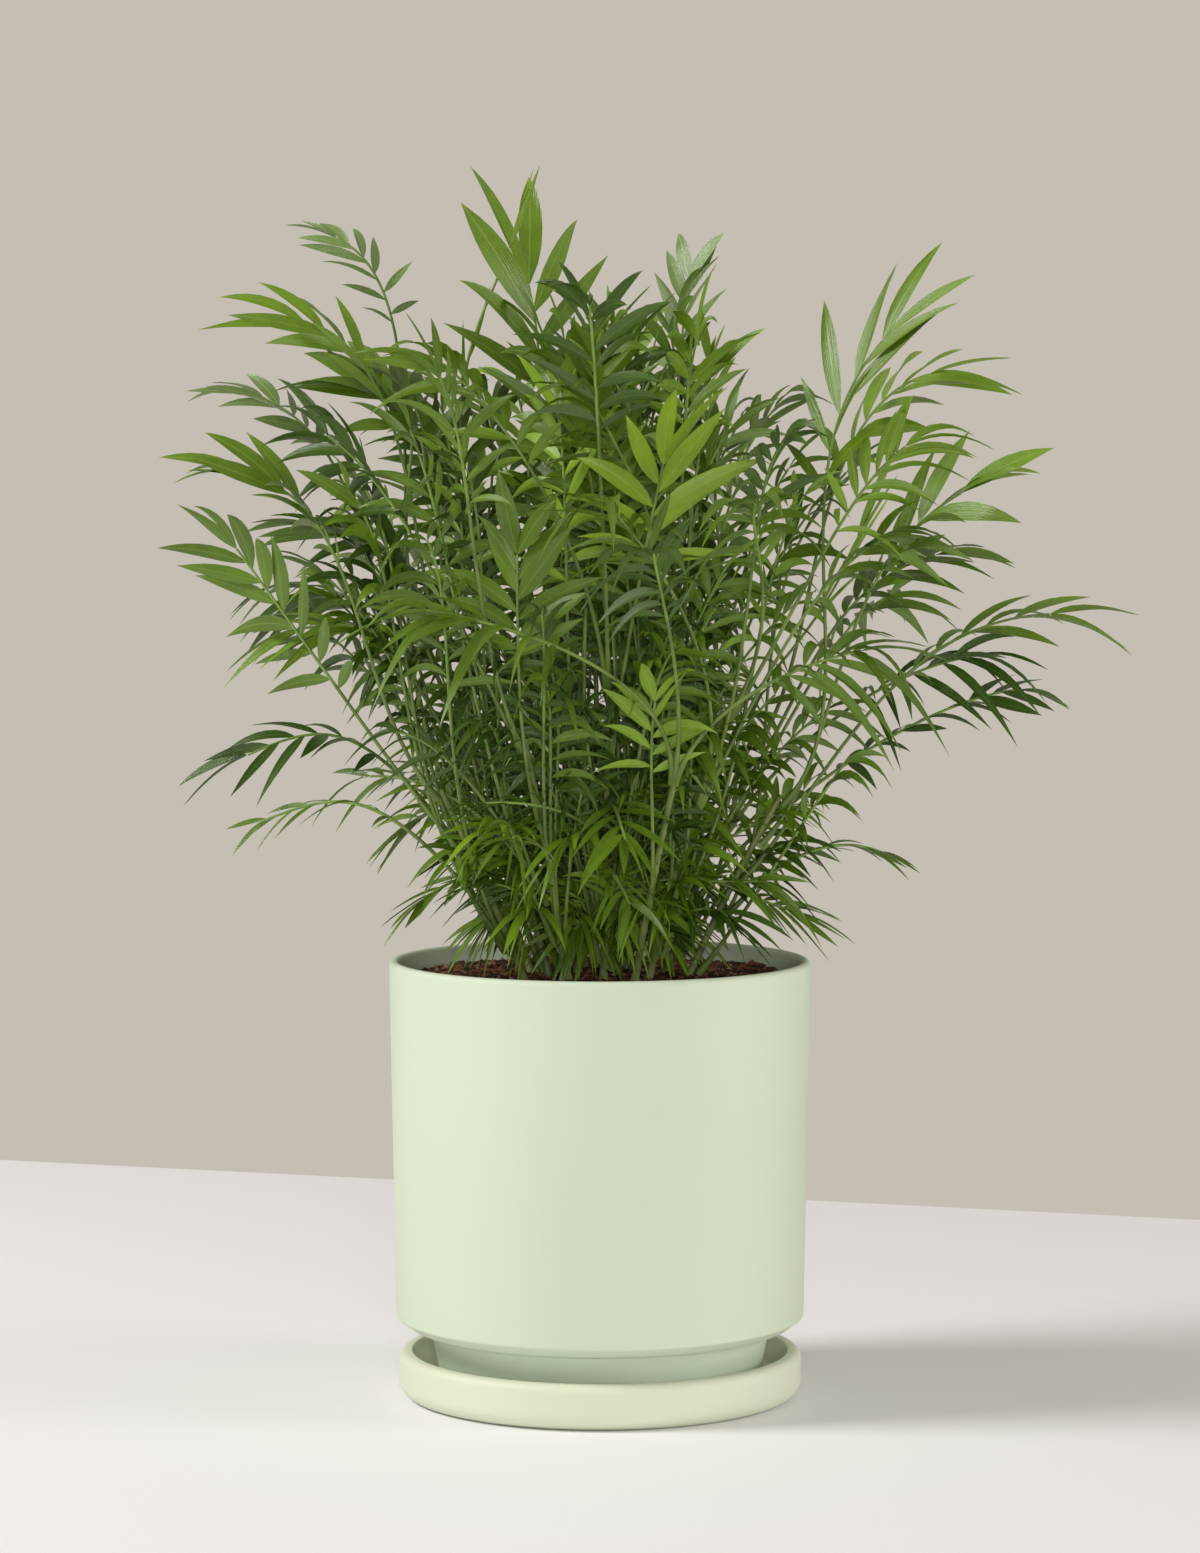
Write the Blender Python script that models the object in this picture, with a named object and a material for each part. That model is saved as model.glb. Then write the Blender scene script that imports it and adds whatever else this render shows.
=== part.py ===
"""A parlour palm in a round pot that stands in its saucer.

A clump of slender canes grows from the soil, and each cane bears several pinnate fronds.
Sizes are in metres and +Z is up. The origin is at the centre of the saucer's flat underside,
and -Y is the front.
"""

import math
import random
from collections import namedtuple
from itertools import pairwise

import bmesh
import bpy
import numpy as np
from mathutils import Quaternion, Vector
from mathutils.bvhtree import BVHTree

UP = Vector((0, 0, 1))
CLEAR = 0.0003  # the gap between pieces that rest on or grow from each other
MERGE = 0.000001  # points of a turned shape nearer than this are one
TURNED_CREASE, CANE_CREASE = math.radians(40), math.radians(50)  # sharper than this isn't smoothed

# Saucer
SAUCER_RADIUS = 0.1245
SAUCER_HEIGHT = 0.028
SAUCER_WALL = 0.0085
SAUCER_FLOOR = 0.008
SAUCER_CORNER = 0.010  # the round of the outer bottom edge
SAUCER_LIP = 0.005  # the round of the outer top edge
SAUCER_LIP_INSIDE = 0.001
SAUCER_COVE = 0.003  # the round inside, between floor and wall

# Pot
POT_RADIUS = 0.130  # at the rim
POT_TOP = 0.270
POT_WALL = 0.0065
POT_TAPER = 0.0040  # how much narrower the wall is at its foot
POT_WALL_FOOT = 0.0498  # height where the wall turns in
POT_EDGE_RADIUS = 0.118  # the lower edge of the turned-in band
POT_EDGE_HEIGHT = 0.0440
POT_FOOT_RADIUS = 0.098  # where it stands in the saucer
POT_FOOT_TOP_RADIUS = 0.105
POT_FOOT_TOP = 0.0415
POT_CHAMFER = 0.0015  # on its outer corners
POT_FLOOR = 0.010  # the thickness of its bottom
TURNED_SIDES = 44  # facets round the pot and the saucer

# Soil
SOIL_TOP = 0.2585
SOIL_EDGE_DROP = 0.0020
SOIL_LEVEL_RADIUS = 0.080  # flat as far out as this

# Canes
CANES = 14
CANE_SIDES = 7
CLUMP_RADIUS = 0.056
CANE_FOOT_RADIUS = 0.0030
CANE_TIP_RADIUS = 0.0021
CANE_FLARE = 1.45  # how much wider the foot is at the cut
FLARE_HEIGHT = 0.007
CANE_LENGTHS = 0.205, 0.120  # in the middle of the clump, and at its edge
CANE_LEAN = math.radians(24)  # at the edge of the clump
CANE_BOW = 0.008
CANE_STEPS = 3
CANE_END = 0.6  # how much of the tip's radius its small end face keeps
GOLDEN_TURN = math.radians(137.508)

# Fronds
STALK_RADIUS = 0.0017
RIB_TIP_RADIUS = 0.0008
SHEATH_RADIUS = 0.0027  # round the foot of a group of stalks
SHEATH_LENGTH = 0.016
SHEATH_TAPER = 0.7  # its end's share of its radius
SHEATH_SIDES = 6
FOOT_FAN = 0.2  # how much of a group's fan its feet have
SEAT_ANGLE = math.radians(15)  # between a cane and the stalk that leaves it
FIRST_SEAT, LAST_SEAT = 0.34, 0.97  # shares of the cane's length
CROWN_RADIUS = 0.27
CROWDING = 0.010  # how far a frond goes to find a cane with fewer fronds on it
RIB_END = 0.86  # the last pair of leaflets takes the rest of the way to the frond's tip
STALK_STEPS = 4
LINE_STEPS = 80
RIB_MARGIN = 0.0002  # between two ribs, or a rib and a cane
SWING_TURN = math.radians(2)  # one step aside from a rib in the way
SWING_BOW = 0.004
SWING_TRIES = 33

# Leaflets
LEAF_SPREAD = math.radians(62), math.radians(24)  # from the rib, at the first pair and the last
LEAF_SHARES = 0.78, 1.0, 0.80  # of the frond's longest leaflet: first pair, middle, last pair
LEAF_WIDTH = 0.20  # of its own length
LEAF_WIDEST = 0.40  # how far along
SHUT_WIDTH = 0.35  # the width that is left where a blade hasn't opened
LEAF_THICKNESS = 0.0011
LEAF_DROOP = 0.22  # how far its tip sinks, as a share of its length
LEAF_LIFT = math.radians(8)
LEAF_LIFTS = -1.0, 1.5  # the range of it that leaflets are given
LEAF_LENGTHS = 0.92, 1.08  # the range of lengths about the right one
LEAF_JITTER = math.radians(5)
LEAF_MARGIN = 0.0006  # kept clear round it
LEAF_TURNS = 0, 14, -14, 28, -28, 42  # degrees up or down, tried in turn where it is crowded
LEAF_CUTS = 1.0, 0.75, 0.55  # lengths tried in turn
PAIR_FOOT = 0.0042  # along the rib, where a leaflet leaves it
SEED = 11

# Each frond's tip is at reach from the pot's axis, that way round (0 is +X, 90 is +Y) and that high.
# It comes in to its tip at climb, above or below level, and roll turns its upper side about the rib,
# all in degrees. leaf is its longest leaflet, the pairs begin at start, and open is 1 for a spread
# blade. rise and run are how far its rib keeps its first and its last direction, as shares of the
# straight line between its ends.
FROND_PARTS = "azimuth reach height climb roll pairs leaf start open rise run"
Frond = namedtuple("Frond", FROND_PARTS, defaults=(0.52, 1, 0.46, 0.26))

# The fronds that make the outline from the front: the left side, the top and the right side, each
# downwards, and then four that face the front.
OUTLINE = (
    Frond(186, 0.228, 0.662, -10, -52, 6, 0.078, 0.57, 1, 0.30, 0.50),
    Frond(152, 0.245, 0.718, -12, -30, 6, 0.048, 0.66, 1, 0.30, 0.50),
    Frond(172, 0.179, 0.631, 10, -40, 6, 0.080, 0.60, 1, 0.80, 0.50),
    Frond(166, 0.282, 0.624, -5, -20, 6, 0.052, 0.68, 1, 0.38, 0.50),
    Frond(197, 0.262, 0.566, -12, -25, 7, 0.072, 0.55, 1, 0.38, 0.50),
    Frond(190, 0.236, 0.540, 50, 70, 7, 0.066, 0.47, 1, 0.30, 0.14),
    Frond(176, 0.218, 0.534, -15, 30, 7, 0.056, 0.62, 1, 0.30, 0.50),
    Frond(187, 0.217, 0.469, -10, -20, 7, 0.062, 0.34, 1, 0.80, 0.50),
    Frond(182, 0.245, 0.383, -25, -44, 6, 0.052, 0.38, 1, 0.80, 0.42),
    Frond(188, 0.226, 0.352, -15, -10, 6, 0.034, 0.34, 1, 0.80, 0.34),
    Frond(200, 0.118, 0.308, -45, 10, 6, 0.040, 0.34, 1, 0.38, 0.14),
    Frond(138, 0.083, 0.735, 58, -14, 4, 0.126, 0.68, 1, 0.30, 0.50),
    Frond(150, 0.060, 0.733, 90, 0, 2, 0.072, 0.47, 0.14, 0.80, 0.20),
    Frond(60, 0.136, 0.737, 55, -25, 6, 0.056, 0.65, 1, 0.30, 0.42),
    Frond(-4, 0.222, 0.686, 26, 42, 5, 0.100, 0.60, 0.8, 0.30, 0.50),
    Frond(6, 0.252, 0.630, -12, 30, 6, 0.078, 0.58, 1, 0.30, 0.50),
    Frond(14, 0.183, 0.579, 75, -40, 3, 0.090, 0.68, 0.34, 0.38, 0.50),
    Frond(-6, 0.272, 0.574, 10, 32, 7, 0.080, 0.58, 1, 0.30, 0.50),
    Frond(10, 0.253, 0.523, 0, 15, 7, 0.060, 0.57, 1, 0.38, 0.50),
    Frond(-3, 0.328, 0.476, -16, 18, 7, 0.070, 0.52, 1, 0.30, 0.50),
    Frond(5, 0.284, 0.432, -25, 20, 8, 0.044, 0.42, 1, 0.30, 0.20),
    Frond(-6, 0.189, 0.329, -35, -10, 6, 0.034, 0.34, 1, 0.46, 0.42),
    Frond(-12, 0.139, 0.299, -5, 30, 5, 0.046, 0.65, 1, 0.30, 0.50),
    Frond(-73, 0.150, 0.603, 50, 0, 5, 0.088, 0.60, 1, 0.30, 0.40),
    Frond(-112, 0.130, 0.563, 90, 12, 6, 0.070, 0.62, 1, 0.30, 0.50),
    Frond(-76, 0.150, 0.455, 40, 0, 5, 0.058, 0.60, 1, 0.30, 0.40),
    Frond(-82, 0.115, 0.352, 20, 20, 5, 0.052, 0.34, 1, 0.46, 0.14),
)

# The fronds that fill the front and the back. Their reach and height each run through a range, and
# together is how many of them are joined at the foot into one group.
Tier = namedtuple("Tier", "count together reach height climb pairs leaf")
TIERS = (
    Tier(3, 2, (0.085, 0.150), (0.660, 0.605), 46, 5, 0.084),
    Tier(5, 2, (0.225, 0.170), (0.560, 0.645), 16, 5, 0.082),
    Tier(4, 3, (0.250, 0.200), (0.460, 0.560), 2, 5, 0.078),
    Tier(4, 3, (0.180, 0.120), (0.400, 0.335), -20, 4, 0.062),
)
TIER_START = math.radians(28)  # the fill keeps this far from the two sides
GROUP_FAN = math.radians(38)
GROUP_LIFTS = 0.0, 0.035, -0.025  # of the members' tips, in turn
FILL_ROLL = 24

Cane = namedtuple("Cane", "foot lean out length")
Rib = namedtuple("Rib", "frond line side number")


def outward(azimuth):
    return Vector((math.cos(azimuth), math.sin(azimuth), 0))


def mix(low, high, share):
    return low + (high - low) * share


def paint(obj, colour, roughness):
    """Gives the object a material of its own with this colour, which is in linear light."""
    material = bpy.data.materials.new(obj.name)
    material.use_nodes = True
    shader = material.node_tree.nodes["Principled BSDF"]
    shader.inputs["Base Color"].default_value = (*colour, 1)
    shader.inputs["Roughness"].default_value = roughness
    shader.inputs["Metallic"].default_value = 0
    obj.data.materials.append(material)


def object_from(bm, name):
    """Closes the bmesh's work: faces out, and one named object in the scene."""
    bmesh.ops.recalc_face_normals(bm, faces=bm.faces)
    mesh = bpy.data.meshes.new(name)
    bm.to_mesh(mesh)
    bm.free()
    obj = bpy.data.objects.new(name, mesh)
    bpy.context.scene.collection.objects.link(obj)
    return obj


# Pot, saucer and soil


def arc(centre, radius, start, end, steps):
    """Points of a turned profile along an arc, with its angles in degrees from outward to up."""
    angles = [math.radians(mix(start, end, i / steps)) for i in range(steps + 1)]
    return [(centre[0] + radius * math.cos(a), centre[1] + radius * math.sin(a)) for a in angles]


def turned(name, profile):
    """A solid turned about Z from (radius, height) points that start and end on the axis."""
    bm = bmesh.new()
    points = [bm.verts.new((r, 0, z)) for r, z in profile]
    edges = [bm.edges.new(pair) for pair in pairwise(points)]
    bmesh.ops.spin(
        bm, geom=points + edges, cent=(0, 0, 0), axis=UP, angle=math.tau, steps=TURNED_SIDES
    )
    bmesh.ops.remove_doubles(bm, verts=bm.verts, dist=MERGE)
    obj = object_from(bm, name)
    obj.data.shade_smooth()
    obj.data.set_sharp_from_angle(angle=TURNED_CREASE)
    return obj


def saucer():
    wall_inside = SAUCER_RADIUS - SAUCER_WALL
    profile = [
        (0, 0),
        *arc((SAUCER_RADIUS - SAUCER_CORNER, SAUCER_CORNER), SAUCER_CORNER, -90, 0, 3),
        *arc((SAUCER_RADIUS - SAUCER_LIP, SAUCER_HEIGHT - SAUCER_LIP), SAUCER_LIP, 0, 90, 3),
        (wall_inside + SAUCER_LIP_INSIDE, SAUCER_HEIGHT),
        (wall_inside, SAUCER_HEIGHT - SAUCER_LIP_INSIDE),
        *arc((wall_inside - SAUCER_COVE, SAUCER_FLOOR + SAUCER_COVE), SAUCER_COVE, 0, -90, 2),
        (0, SAUCER_FLOOR),
    ]
    obj = turned("saucer", profile)
    paint(obj, (0.66, 0.76, 0.56), 0.5)


def pot_inside(gap=0.0):
    """The pot's inner profile from its wall's top down to the axis, or one that fits in it with a gap."""
    foot_inside = POT_FOOT_RADIUS - POT_WALL
    floor = SAUCER_FLOOR + CLEAR + POT_FLOOR
    shelf = POT_EDGE_HEIGHT + POT_WALL
    return [
        (POT_RADIUS - POT_WALL - gap, POT_TOP - POT_WALL / 2),
        (POT_RADIUS - POT_TAPER - POT_WALL - gap, POT_WALL_FOOT + POT_WALL),
        (POT_EDGE_RADIUS - POT_WALL / 2 - gap, shelf + gap),
        (foot_inside - gap, shelf + gap),
        (foot_inside - gap, floor + gap),
        (0, floor + gap),
    ]


def pot():
    foot = SAUCER_FLOOR + CLEAR
    lip = POT_WALL / 2
    profile = [
        (0, foot),
        (POT_FOOT_RADIUS - POT_CHAMFER, foot),
        (POT_FOOT_RADIUS, foot + POT_CHAMFER),
        (POT_FOOT_TOP_RADIUS, POT_FOOT_TOP - POT_CHAMFER),
        (POT_FOOT_TOP_RADIUS + POT_CHAMFER, POT_FOOT_TOP),
        (POT_EDGE_RADIUS, POT_EDGE_HEIGHT),
        (POT_RADIUS - POT_TAPER - POT_CHAMFER, POT_WALL_FOOT - POT_CHAMFER),
        (POT_RADIUS - POT_TAPER, POT_WALL_FOOT + POT_CHAMFER),
        *arc((POT_RADIUS - lip, POT_TOP - lip), lip, 0, 180, 6)[:-1],
        *pot_inside(),
    ]
    obj = turned("pot", profile)
    paint(obj, (0.62, 0.77, 0.53), 0.5)
    return obj


def soil():
    """The root ball and soil that fill the pot, level in the middle."""
    edge = SOIL_TOP - SOIL_EDGE_DROP
    inside = pot_inside(CLEAR)
    share = (edge - inside[1][1]) / (inside[0][1] - inside[1][1])
    profile = [
        (0, SOIL_TOP),
        (SOIL_LEVEL_RADIUS, SOIL_TOP),
        (mix(inside[1][0], inside[0][0], share), edge),
        *inside[1:],
    ]
    obj = turned("soil", profile)
    paint(obj, (0.045, 0.022, 0.013), 0.95)
    return obj


# Canes


def cane_of(number):
    """The canes stand by the golden turn, and those further out are shorter and lean more."""
    share = (number + 0.5) / CANES
    out = outward(number * GOLDEN_TURN)
    lean = CANE_LEAN * math.sqrt(share)
    return Cane(
        out * CLUMP_RADIUS * math.sqrt(share) + UP * (SOIL_TOP + CLEAR),
        UP * math.cos(lean) + out * math.sin(lean),
        out,
        mix(*CANE_LENGTHS, share),
    )


def cane_point(cane, share):
    return cane.foot + cane.lean * cane.length * share + cane.out * CANE_BOW * share * share


def cane_way(cane, share):
    return (cane.lean * cane.length + cane.out * 2 * CANE_BOW * share).normalized()


def cane_radius(share):
    return mix(CANE_FOOT_RADIUS, CANE_TIP_RADIUS, share)


def ring(bm, centre, across, over, radius, sides):
    """A ring of points about the centre, in the plane of the two directions."""
    angles = [math.tau * i / sides for i in range(sides)]
    return [
        bm.verts.new(centre + radius * (math.cos(a) * across + math.sin(a) * over)) for a in angles
    ]


def bridge(bm, low, high):
    """The side faces between two rings, in the rings' order."""
    count = len(low)
    turns = [(i, (i + 1) % count) for i in range(count)]
    return [bm.faces.new((low[i], low[j], high[j], high[i])) for i, j in turns]


def cane(number):
    """A tapered cane from a flat cut on the soil, with a flared foot and a rounded tip."""
    one = cane_of(number)
    flare = FLARE_HEIGHT / one.length
    shares = [flare, *(mix(flare, 1, (i + 1) / CANE_STEPS) for i in range(CANE_STEPS))]
    bm = bmesh.new()
    side = one.out.cross(UP)
    foot = ring(bm, one.foot, one.out, side, CANE_FOOT_RADIUS * CANE_FLARE, CANE_SIDES)
    rings = [foot]
    for share in shares:
        over = cane_way(one, share).cross(side).normalized()
        place = cane_point(one, share)
        rings.append(ring(bm, place, over, side, cane_radius(share), CANE_SIDES))
    end = cane_point(one, 1) + cane_way(one, 1) * CANE_TIP_RADIUS / 2
    rings.append(ring(bm, end, over, side, CANE_TIP_RADIUS * CANE_END, CANE_SIDES))
    for low, high in pairwise(rings):
        bridge(bm, low, high)
    bm.faces.new(rings[0])
    bm.faces.new(rings[-1])
    obj = object_from(bm, f"cane_{number + 1:02d}")
    obj.data.shade_smooth()
    obj.data.set_sharp_from_angle(angle=CANE_CREASE)
    paint(obj, (0.25, 0.36, 0.10), 0.45)
    return obj


# Where the fronds' ribs run


def sprays():
    """Every frond of the plant, in lists that are each one node: a frond alone, or a group."""
    made = [[frond] for frond in OUTLINE]
    turns = 0
    for tier in TIERS:
        for i in range(tier.count):
            share = i / (tier.count - 1)
            part_way = (turns * GOLDEN_TURN / math.tau) % 1
            side = -1 if turns % 2 else 1
            middle = side * mix(TIER_START, math.pi - TIER_START, part_way)
            turns += 1
            group = []
            for j in range(tier.together):
                fan = GROUP_FAN * (j - (tier.together - 1) / 2)
                roll = FILL_ROLL * (-1) ** (i + j)
                group.append(
                    Frond(
                        math.degrees(middle + fan),
                        mix(*tier.reach, share),
                        mix(*tier.height, share) + GROUP_LIFTS[j],
                        tier.climb,
                        roll,
                        tier.pairs,
                        tier.leaf,
                    )
                )
            made.append(group)
    return made


def tip_of(frond):
    return outward(math.radians(frond.azimuth)) * frond.reach + UP * frond.height


def facing_tip(group):
    return tip_of(group[len(group) // 2])


def seats(groups):
    """For each group of fronds, its cane, the share of the cane's length where it leaves it, and
    the tip that its foot faces.

    A frond takes the cane that stands under its tip when the crown is shrunk to the clump, or
    another near it that bears fewer. On each cane, the lower fronds leave lower."""
    canes = [cane_of(i) for i in range(CANES)]
    borne = [[] for _ in canes]
    heights = [sum(f.height for f in group) / len(group) for group in groups]
    for number in sorted(range(len(groups)), key=heights.__getitem__):
        tip = facing_tip(groups[number])
        want = Vector((tip.x, tip.y)) * CLUMP_RADIUS / CROWN_RADIUS
        costs = [(c.foot.xy - want).length + CROWDING * len(b) for c, b in zip(canes, borne)]
        borne[costs.index(min(costs))].append(number)
    found = {}
    for one, numbers in zip(canes, borne):
        for i, number in enumerate(numbers):
            share = i / (len(numbers) - 1) if len(numbers) > 1 else 1
            found[number] = one, mix(FIRST_SEAT, LAST_SEAT, share), facing_tip(groups[number])
    return found


def rib_line(frond, seat, foot_radius, swing):
    """The points of a rib from its seat to the frond's tip, and the level way across it.

    It leaves the cane at the seat angle and comes in to the tip at its climb. swing bows it
    aside, and turns its tip a little with it."""
    one, share, facing = seat
    tip = tip_of(frond._replace(azimuth=frond.azimuth + math.degrees(SWING_TURN * swing)))
    place, way = cane_point(one, share), cane_way(one, share)
    ahead = facing.lerp(tip, FOOT_FAN) - place
    out = Vector((ahead.x, ahead.y, 0)).normalized()
    away = (out - way * out.dot(way)).normalized()
    start = place + away * (cane_radius(share) + foot_radius + CLEAR)
    chord = tip - start
    out = Vector((tip.x, tip.y, 0)).normalized()
    side = out.cross(UP)
    climb = math.radians(frond.climb)
    first = way * math.cos(SEAT_ANGLE) + away * math.sin(SEAT_ANGLE)
    last = out * math.cos(climb) + UP * math.sin(climb)
    bow = side * SWING_BOW * swing
    pulls = first * frond.rise * chord.length, last * frond.run * chord.length
    corners = start, start + pulls[0] + bow, tip - pulls[1] + bow, tip
    line = []
    for i in range(LINE_STEPS + 1):
        t = i / LINE_STEPS
        weights = (1 - t) ** 3, 3 * t * (1 - t) ** 2, 3 * t * t * (1 - t), t**3
        line.append(sum((c * w for c, w in zip(corners, weights)), Vector()))
    return line, side


def knots(rib):
    """The rib's points at its rings, which its straight stretches join."""
    return np.array([rib_place(rib, share)[0] for share in stations(rib)])


def gap_between(points, line):
    """The smallest distance from the stretches through the points to those of the line."""
    steps = [mix(points[:-1], points[1:], s) for s in (0.0, 0.25, 0.5, 0.75)]
    dense = np.concatenate([*steps, points[-1:]])
    starts, runs = line[:-1], line[1:] - line[:-1]
    from_start = dense[:, None] - starts
    along = np.clip((from_start * runs).sum(2) / (runs * runs).sum(1), 0, 1)
    return np.linalg.norm(from_start - along[..., None] * runs, axis=2).min()


def grown_ribs():
    """The ribs of each group, every one swung aside until it is clear of all before it.

    Its own cane isn't in its way, as it leaves that one outwards."""
    groups = sprays()
    found = seats(groups)
    taken = []
    for i in range(CANES):
        one = cane_of(i)
        line = np.array([cane_point(one, s / CANE_STEPS) for s in range(CANE_STEPS + 1)])
        taken.append((line, CANE_FOOT_RADIUS))
    made, number = [], 0
    for group_number, group in enumerate(groups):
        foot_radius = SHEATH_RADIUS if len(group) > 1 else STALK_RADIUS
        seat = found[group_number]
        others = [t for t in taken if tuple(t[0][0]) != tuple(seat[0].foot)]
        ribs = []
        for frond in group:
            best = -1
            for attempt in range(SWING_TRIES):
                swing = (attempt + 1) // 2 * (-1) ** attempt
                rib = Rib(frond, *rib_line(frond, seat, foot_radius, swing), number)
                points = knots(rib)
                gap = min(gap_between(points, line) - radius for line, radius in others)
                if gap > best:
                    best, chosen = gap, rib
                if gap > STALK_RADIUS + RIB_MARGIN:
                    break
            ribs.append(chosen)
            number += 1
        taken += [(knots(rib), foot_radius) for rib in ribs]
        made.append(ribs)
    return made


# Fronds


def rib_place(rib, share):
    """The point, the way along, the upper side and the right side at a share of the rib."""
    where = share * LINE_STEPS
    i = min(int(where), LINE_STEPS - 1)
    place = rib.line[i].lerp(rib.line[i + 1], where - i)
    before, after = rib.line[max(i - 1, 0)], rib.line[min(i + 2, LINE_STEPS)]
    along = (after - before).normalized()
    over = rib.side.cross(along).normalized()
    rolled = Quaternion(along, math.radians(rib.frond.roll) * share) @ over
    return place, along, rolled, along.cross(rolled)


def rib_radius(share):
    return mix(STALK_RADIUS, RIB_TIP_RADIUS, share)


def stations(rib):
    """Shares of the rib where its tube has a ring: along the stalk, then two for each pair."""
    frond = rib.frond
    length = sum((b - a).length for a, b in pairwise(rib.line))
    foot = PAIR_FOOT / length
    shares = [frond.start * i / STALK_STEPS for i in range(STALK_STEPS)]
    for i in range(frond.pairs):
        at = mix(frond.start, RIB_END, i / (frond.pairs - 1))
        shares += [at - foot / 2, at + foot / 2]
    return shares


def leaflet(rib, pair, hand, chance, lift, cut):
    """The middle of a leaflet's widest place, half its width and half its thickness there, and its
    tip. hand is 1 for the right of the rib."""
    frond = rib.frond
    share = pair / (frond.pairs - 1)
    at = mix(frond.start, RIB_END, share)
    place, along, over, right = rib_place(rib, at)
    width = LEAF_WIDTH * mix(SHUT_WIDTH, 1, frond.open)
    least = math.atan(width / 2 / LEAF_WIDEST) + LEAF_JITTER / 2
    turn = max((mix(*LEAF_SPREAD, share) + chance.uniform(-1, 1) * LEAF_JITTER) * frond.open, least)
    raised = (LEAF_LIFT * chance.uniform(*LEAF_LIFTS) + math.radians(lift)) * frond.open
    flat = along * math.cos(turn) + right * hand * math.sin(turn)
    way = flat * math.cos(raised) + over * math.sin(raised)
    low, middle, high = LEAF_SHARES
    size = mix(low, middle, share * 2) if share < 0.5 else mix(middle, high, share * 2 - 1)
    length = frond.leaf * size * cut * chance.uniform(*LEAF_LENGTHS)
    front = (along - way * along.dot(way)).normalized()
    thick = way.cross(front).normalized()
    if thick.dot(over) < 0:
        thick = -thick
    half = length * width / 2
    sink = UP * -LEAF_DROOP * length * frond.open
    centre = place + way * length * LEAF_WIDEST + sink * LEAF_WIDEST**2
    tip = place + way * length + sink
    return centre, front * half, thick * LEAF_THICKNESS / 2, tip


def blade_tree(rib, at, blade):
    """A closed blade a little larger than the leaflet, to test against the others."""
    centre, half, thick, tip = blade
    place, along, over, _ = rib_place(rib, at)
    way = (centre - place).normalized()
    root = place + way * (rib_radius(at) + LEAF_MARGIN)
    rooted = along * PAIR_FOOT / 2, over * rib_radius(at)
    spread = half + half.normalized() * LEAF_MARGIN, thick + thick.normalized() * LEAF_MARGIN
    corners = []
    for middle, (across, deep) in ((root, rooted), (centre, spread)):
        corners += [middle + across + deep, middle - across + deep]
        corners += [middle - across - deep, middle + across - deep]
    turns = [(i, (i + 1) % 4) for i in range(4)]
    faces = [(3, 2, 1, 0), *((i, j, j + 4, i + 4) for i, j in turns)]
    faces += [(i + 4, j + 4, 8) for i, j in turns]
    return BVHTree.FromPolygons([*corners, tip], faces)


def rib_tube(bm, rib):
    """The three-sided rib, and its side faces by place and hand, where leaflets may leave it."""
    shares = stations(rib)
    rings = []
    for share in shares:
        place, _, over, right = rib_place(rib, share)
        rings.append(ring(bm, place, over, right, rib_radius(share), 3))
    faces = [bridge(bm, low, high) for low, high in pairwise(rings)]
    bm.faces.new(rings[0])
    bm.faces.new(rings[-1])
    first = STALK_STEPS
    pairs = range(rib.frond.pairs)
    return {(i, hand): faces[first + 2 * i][face] for i in pairs for hand, face in ((1, 0), (-1, 2))}


def draw_out(bm, face, rib, at, blade):
    """Pulls a side face of the rib out to the leaflet's widest place, then to its tip."""
    centre, half, thick, tip = blade
    _, along, over, _ = rib_place(rib, at)
    end = bmesh.ops.extrude_discrete_faces(bm, faces=[face])["faces"][0]
    middle = end.calc_center_median()
    for vert in end.verts:
        ahead = 1 if (vert.co - middle).dot(along) > 0 else -1
        above = 1 if (vert.co - middle).dot(over) > 0 else -1
        vert.co = centre + half * ahead + thick * above
    bmesh.ops.poke(bm, faces=[end])["verts"][0].co = tip


def frond_meshes(ribs, around):
    """A bmesh for every frond: ribs first, then each leaflet where it is clear of all the others.

    A crowded leaflet is turned up or down, then shortened, and left out if nothing clears it."""
    meshes, sides = [], []
    for group in ribs:
        meshes.append([bmesh.new() for _ in group])
        sides.append([rib_tube(bm, rib) for bm, rib in zip(meshes[-1], group)])
    tubes = [[BVHTree.FromBMesh(bm) for bm in group] for group in meshes]
    blades = []
    for number, group in enumerate(ribs):
        for member, (bm, rib, faces) in enumerate(zip(meshes[number], group, sides[number])):
            chance = random.Random(SEED + rib.number)
            own = tubes[number][member]
            others = around + [t for trees in tubes for t in trees if t is not own]
            for pair, hand in faces:
                draws = chance.getrandbits(32)
                share = pair / (rib.frond.pairs - 1)
                at = mix(rib.frond.start, RIB_END, share)
                for cut, lift in ((c, t) for c in LEAF_CUTS for t in LEAF_TURNS):
                    blade = leaflet(rib, pair, hand, random.Random(draws), lift, cut)
                    tree = blade_tree(rib, at, blade)
                    if not any(tree.overlap(other) for other in others + blades):
                        draw_out(bm, faces[pair, hand], rib, at, blade)
                        blades.append(tree)
                        break
    return meshes


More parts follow.
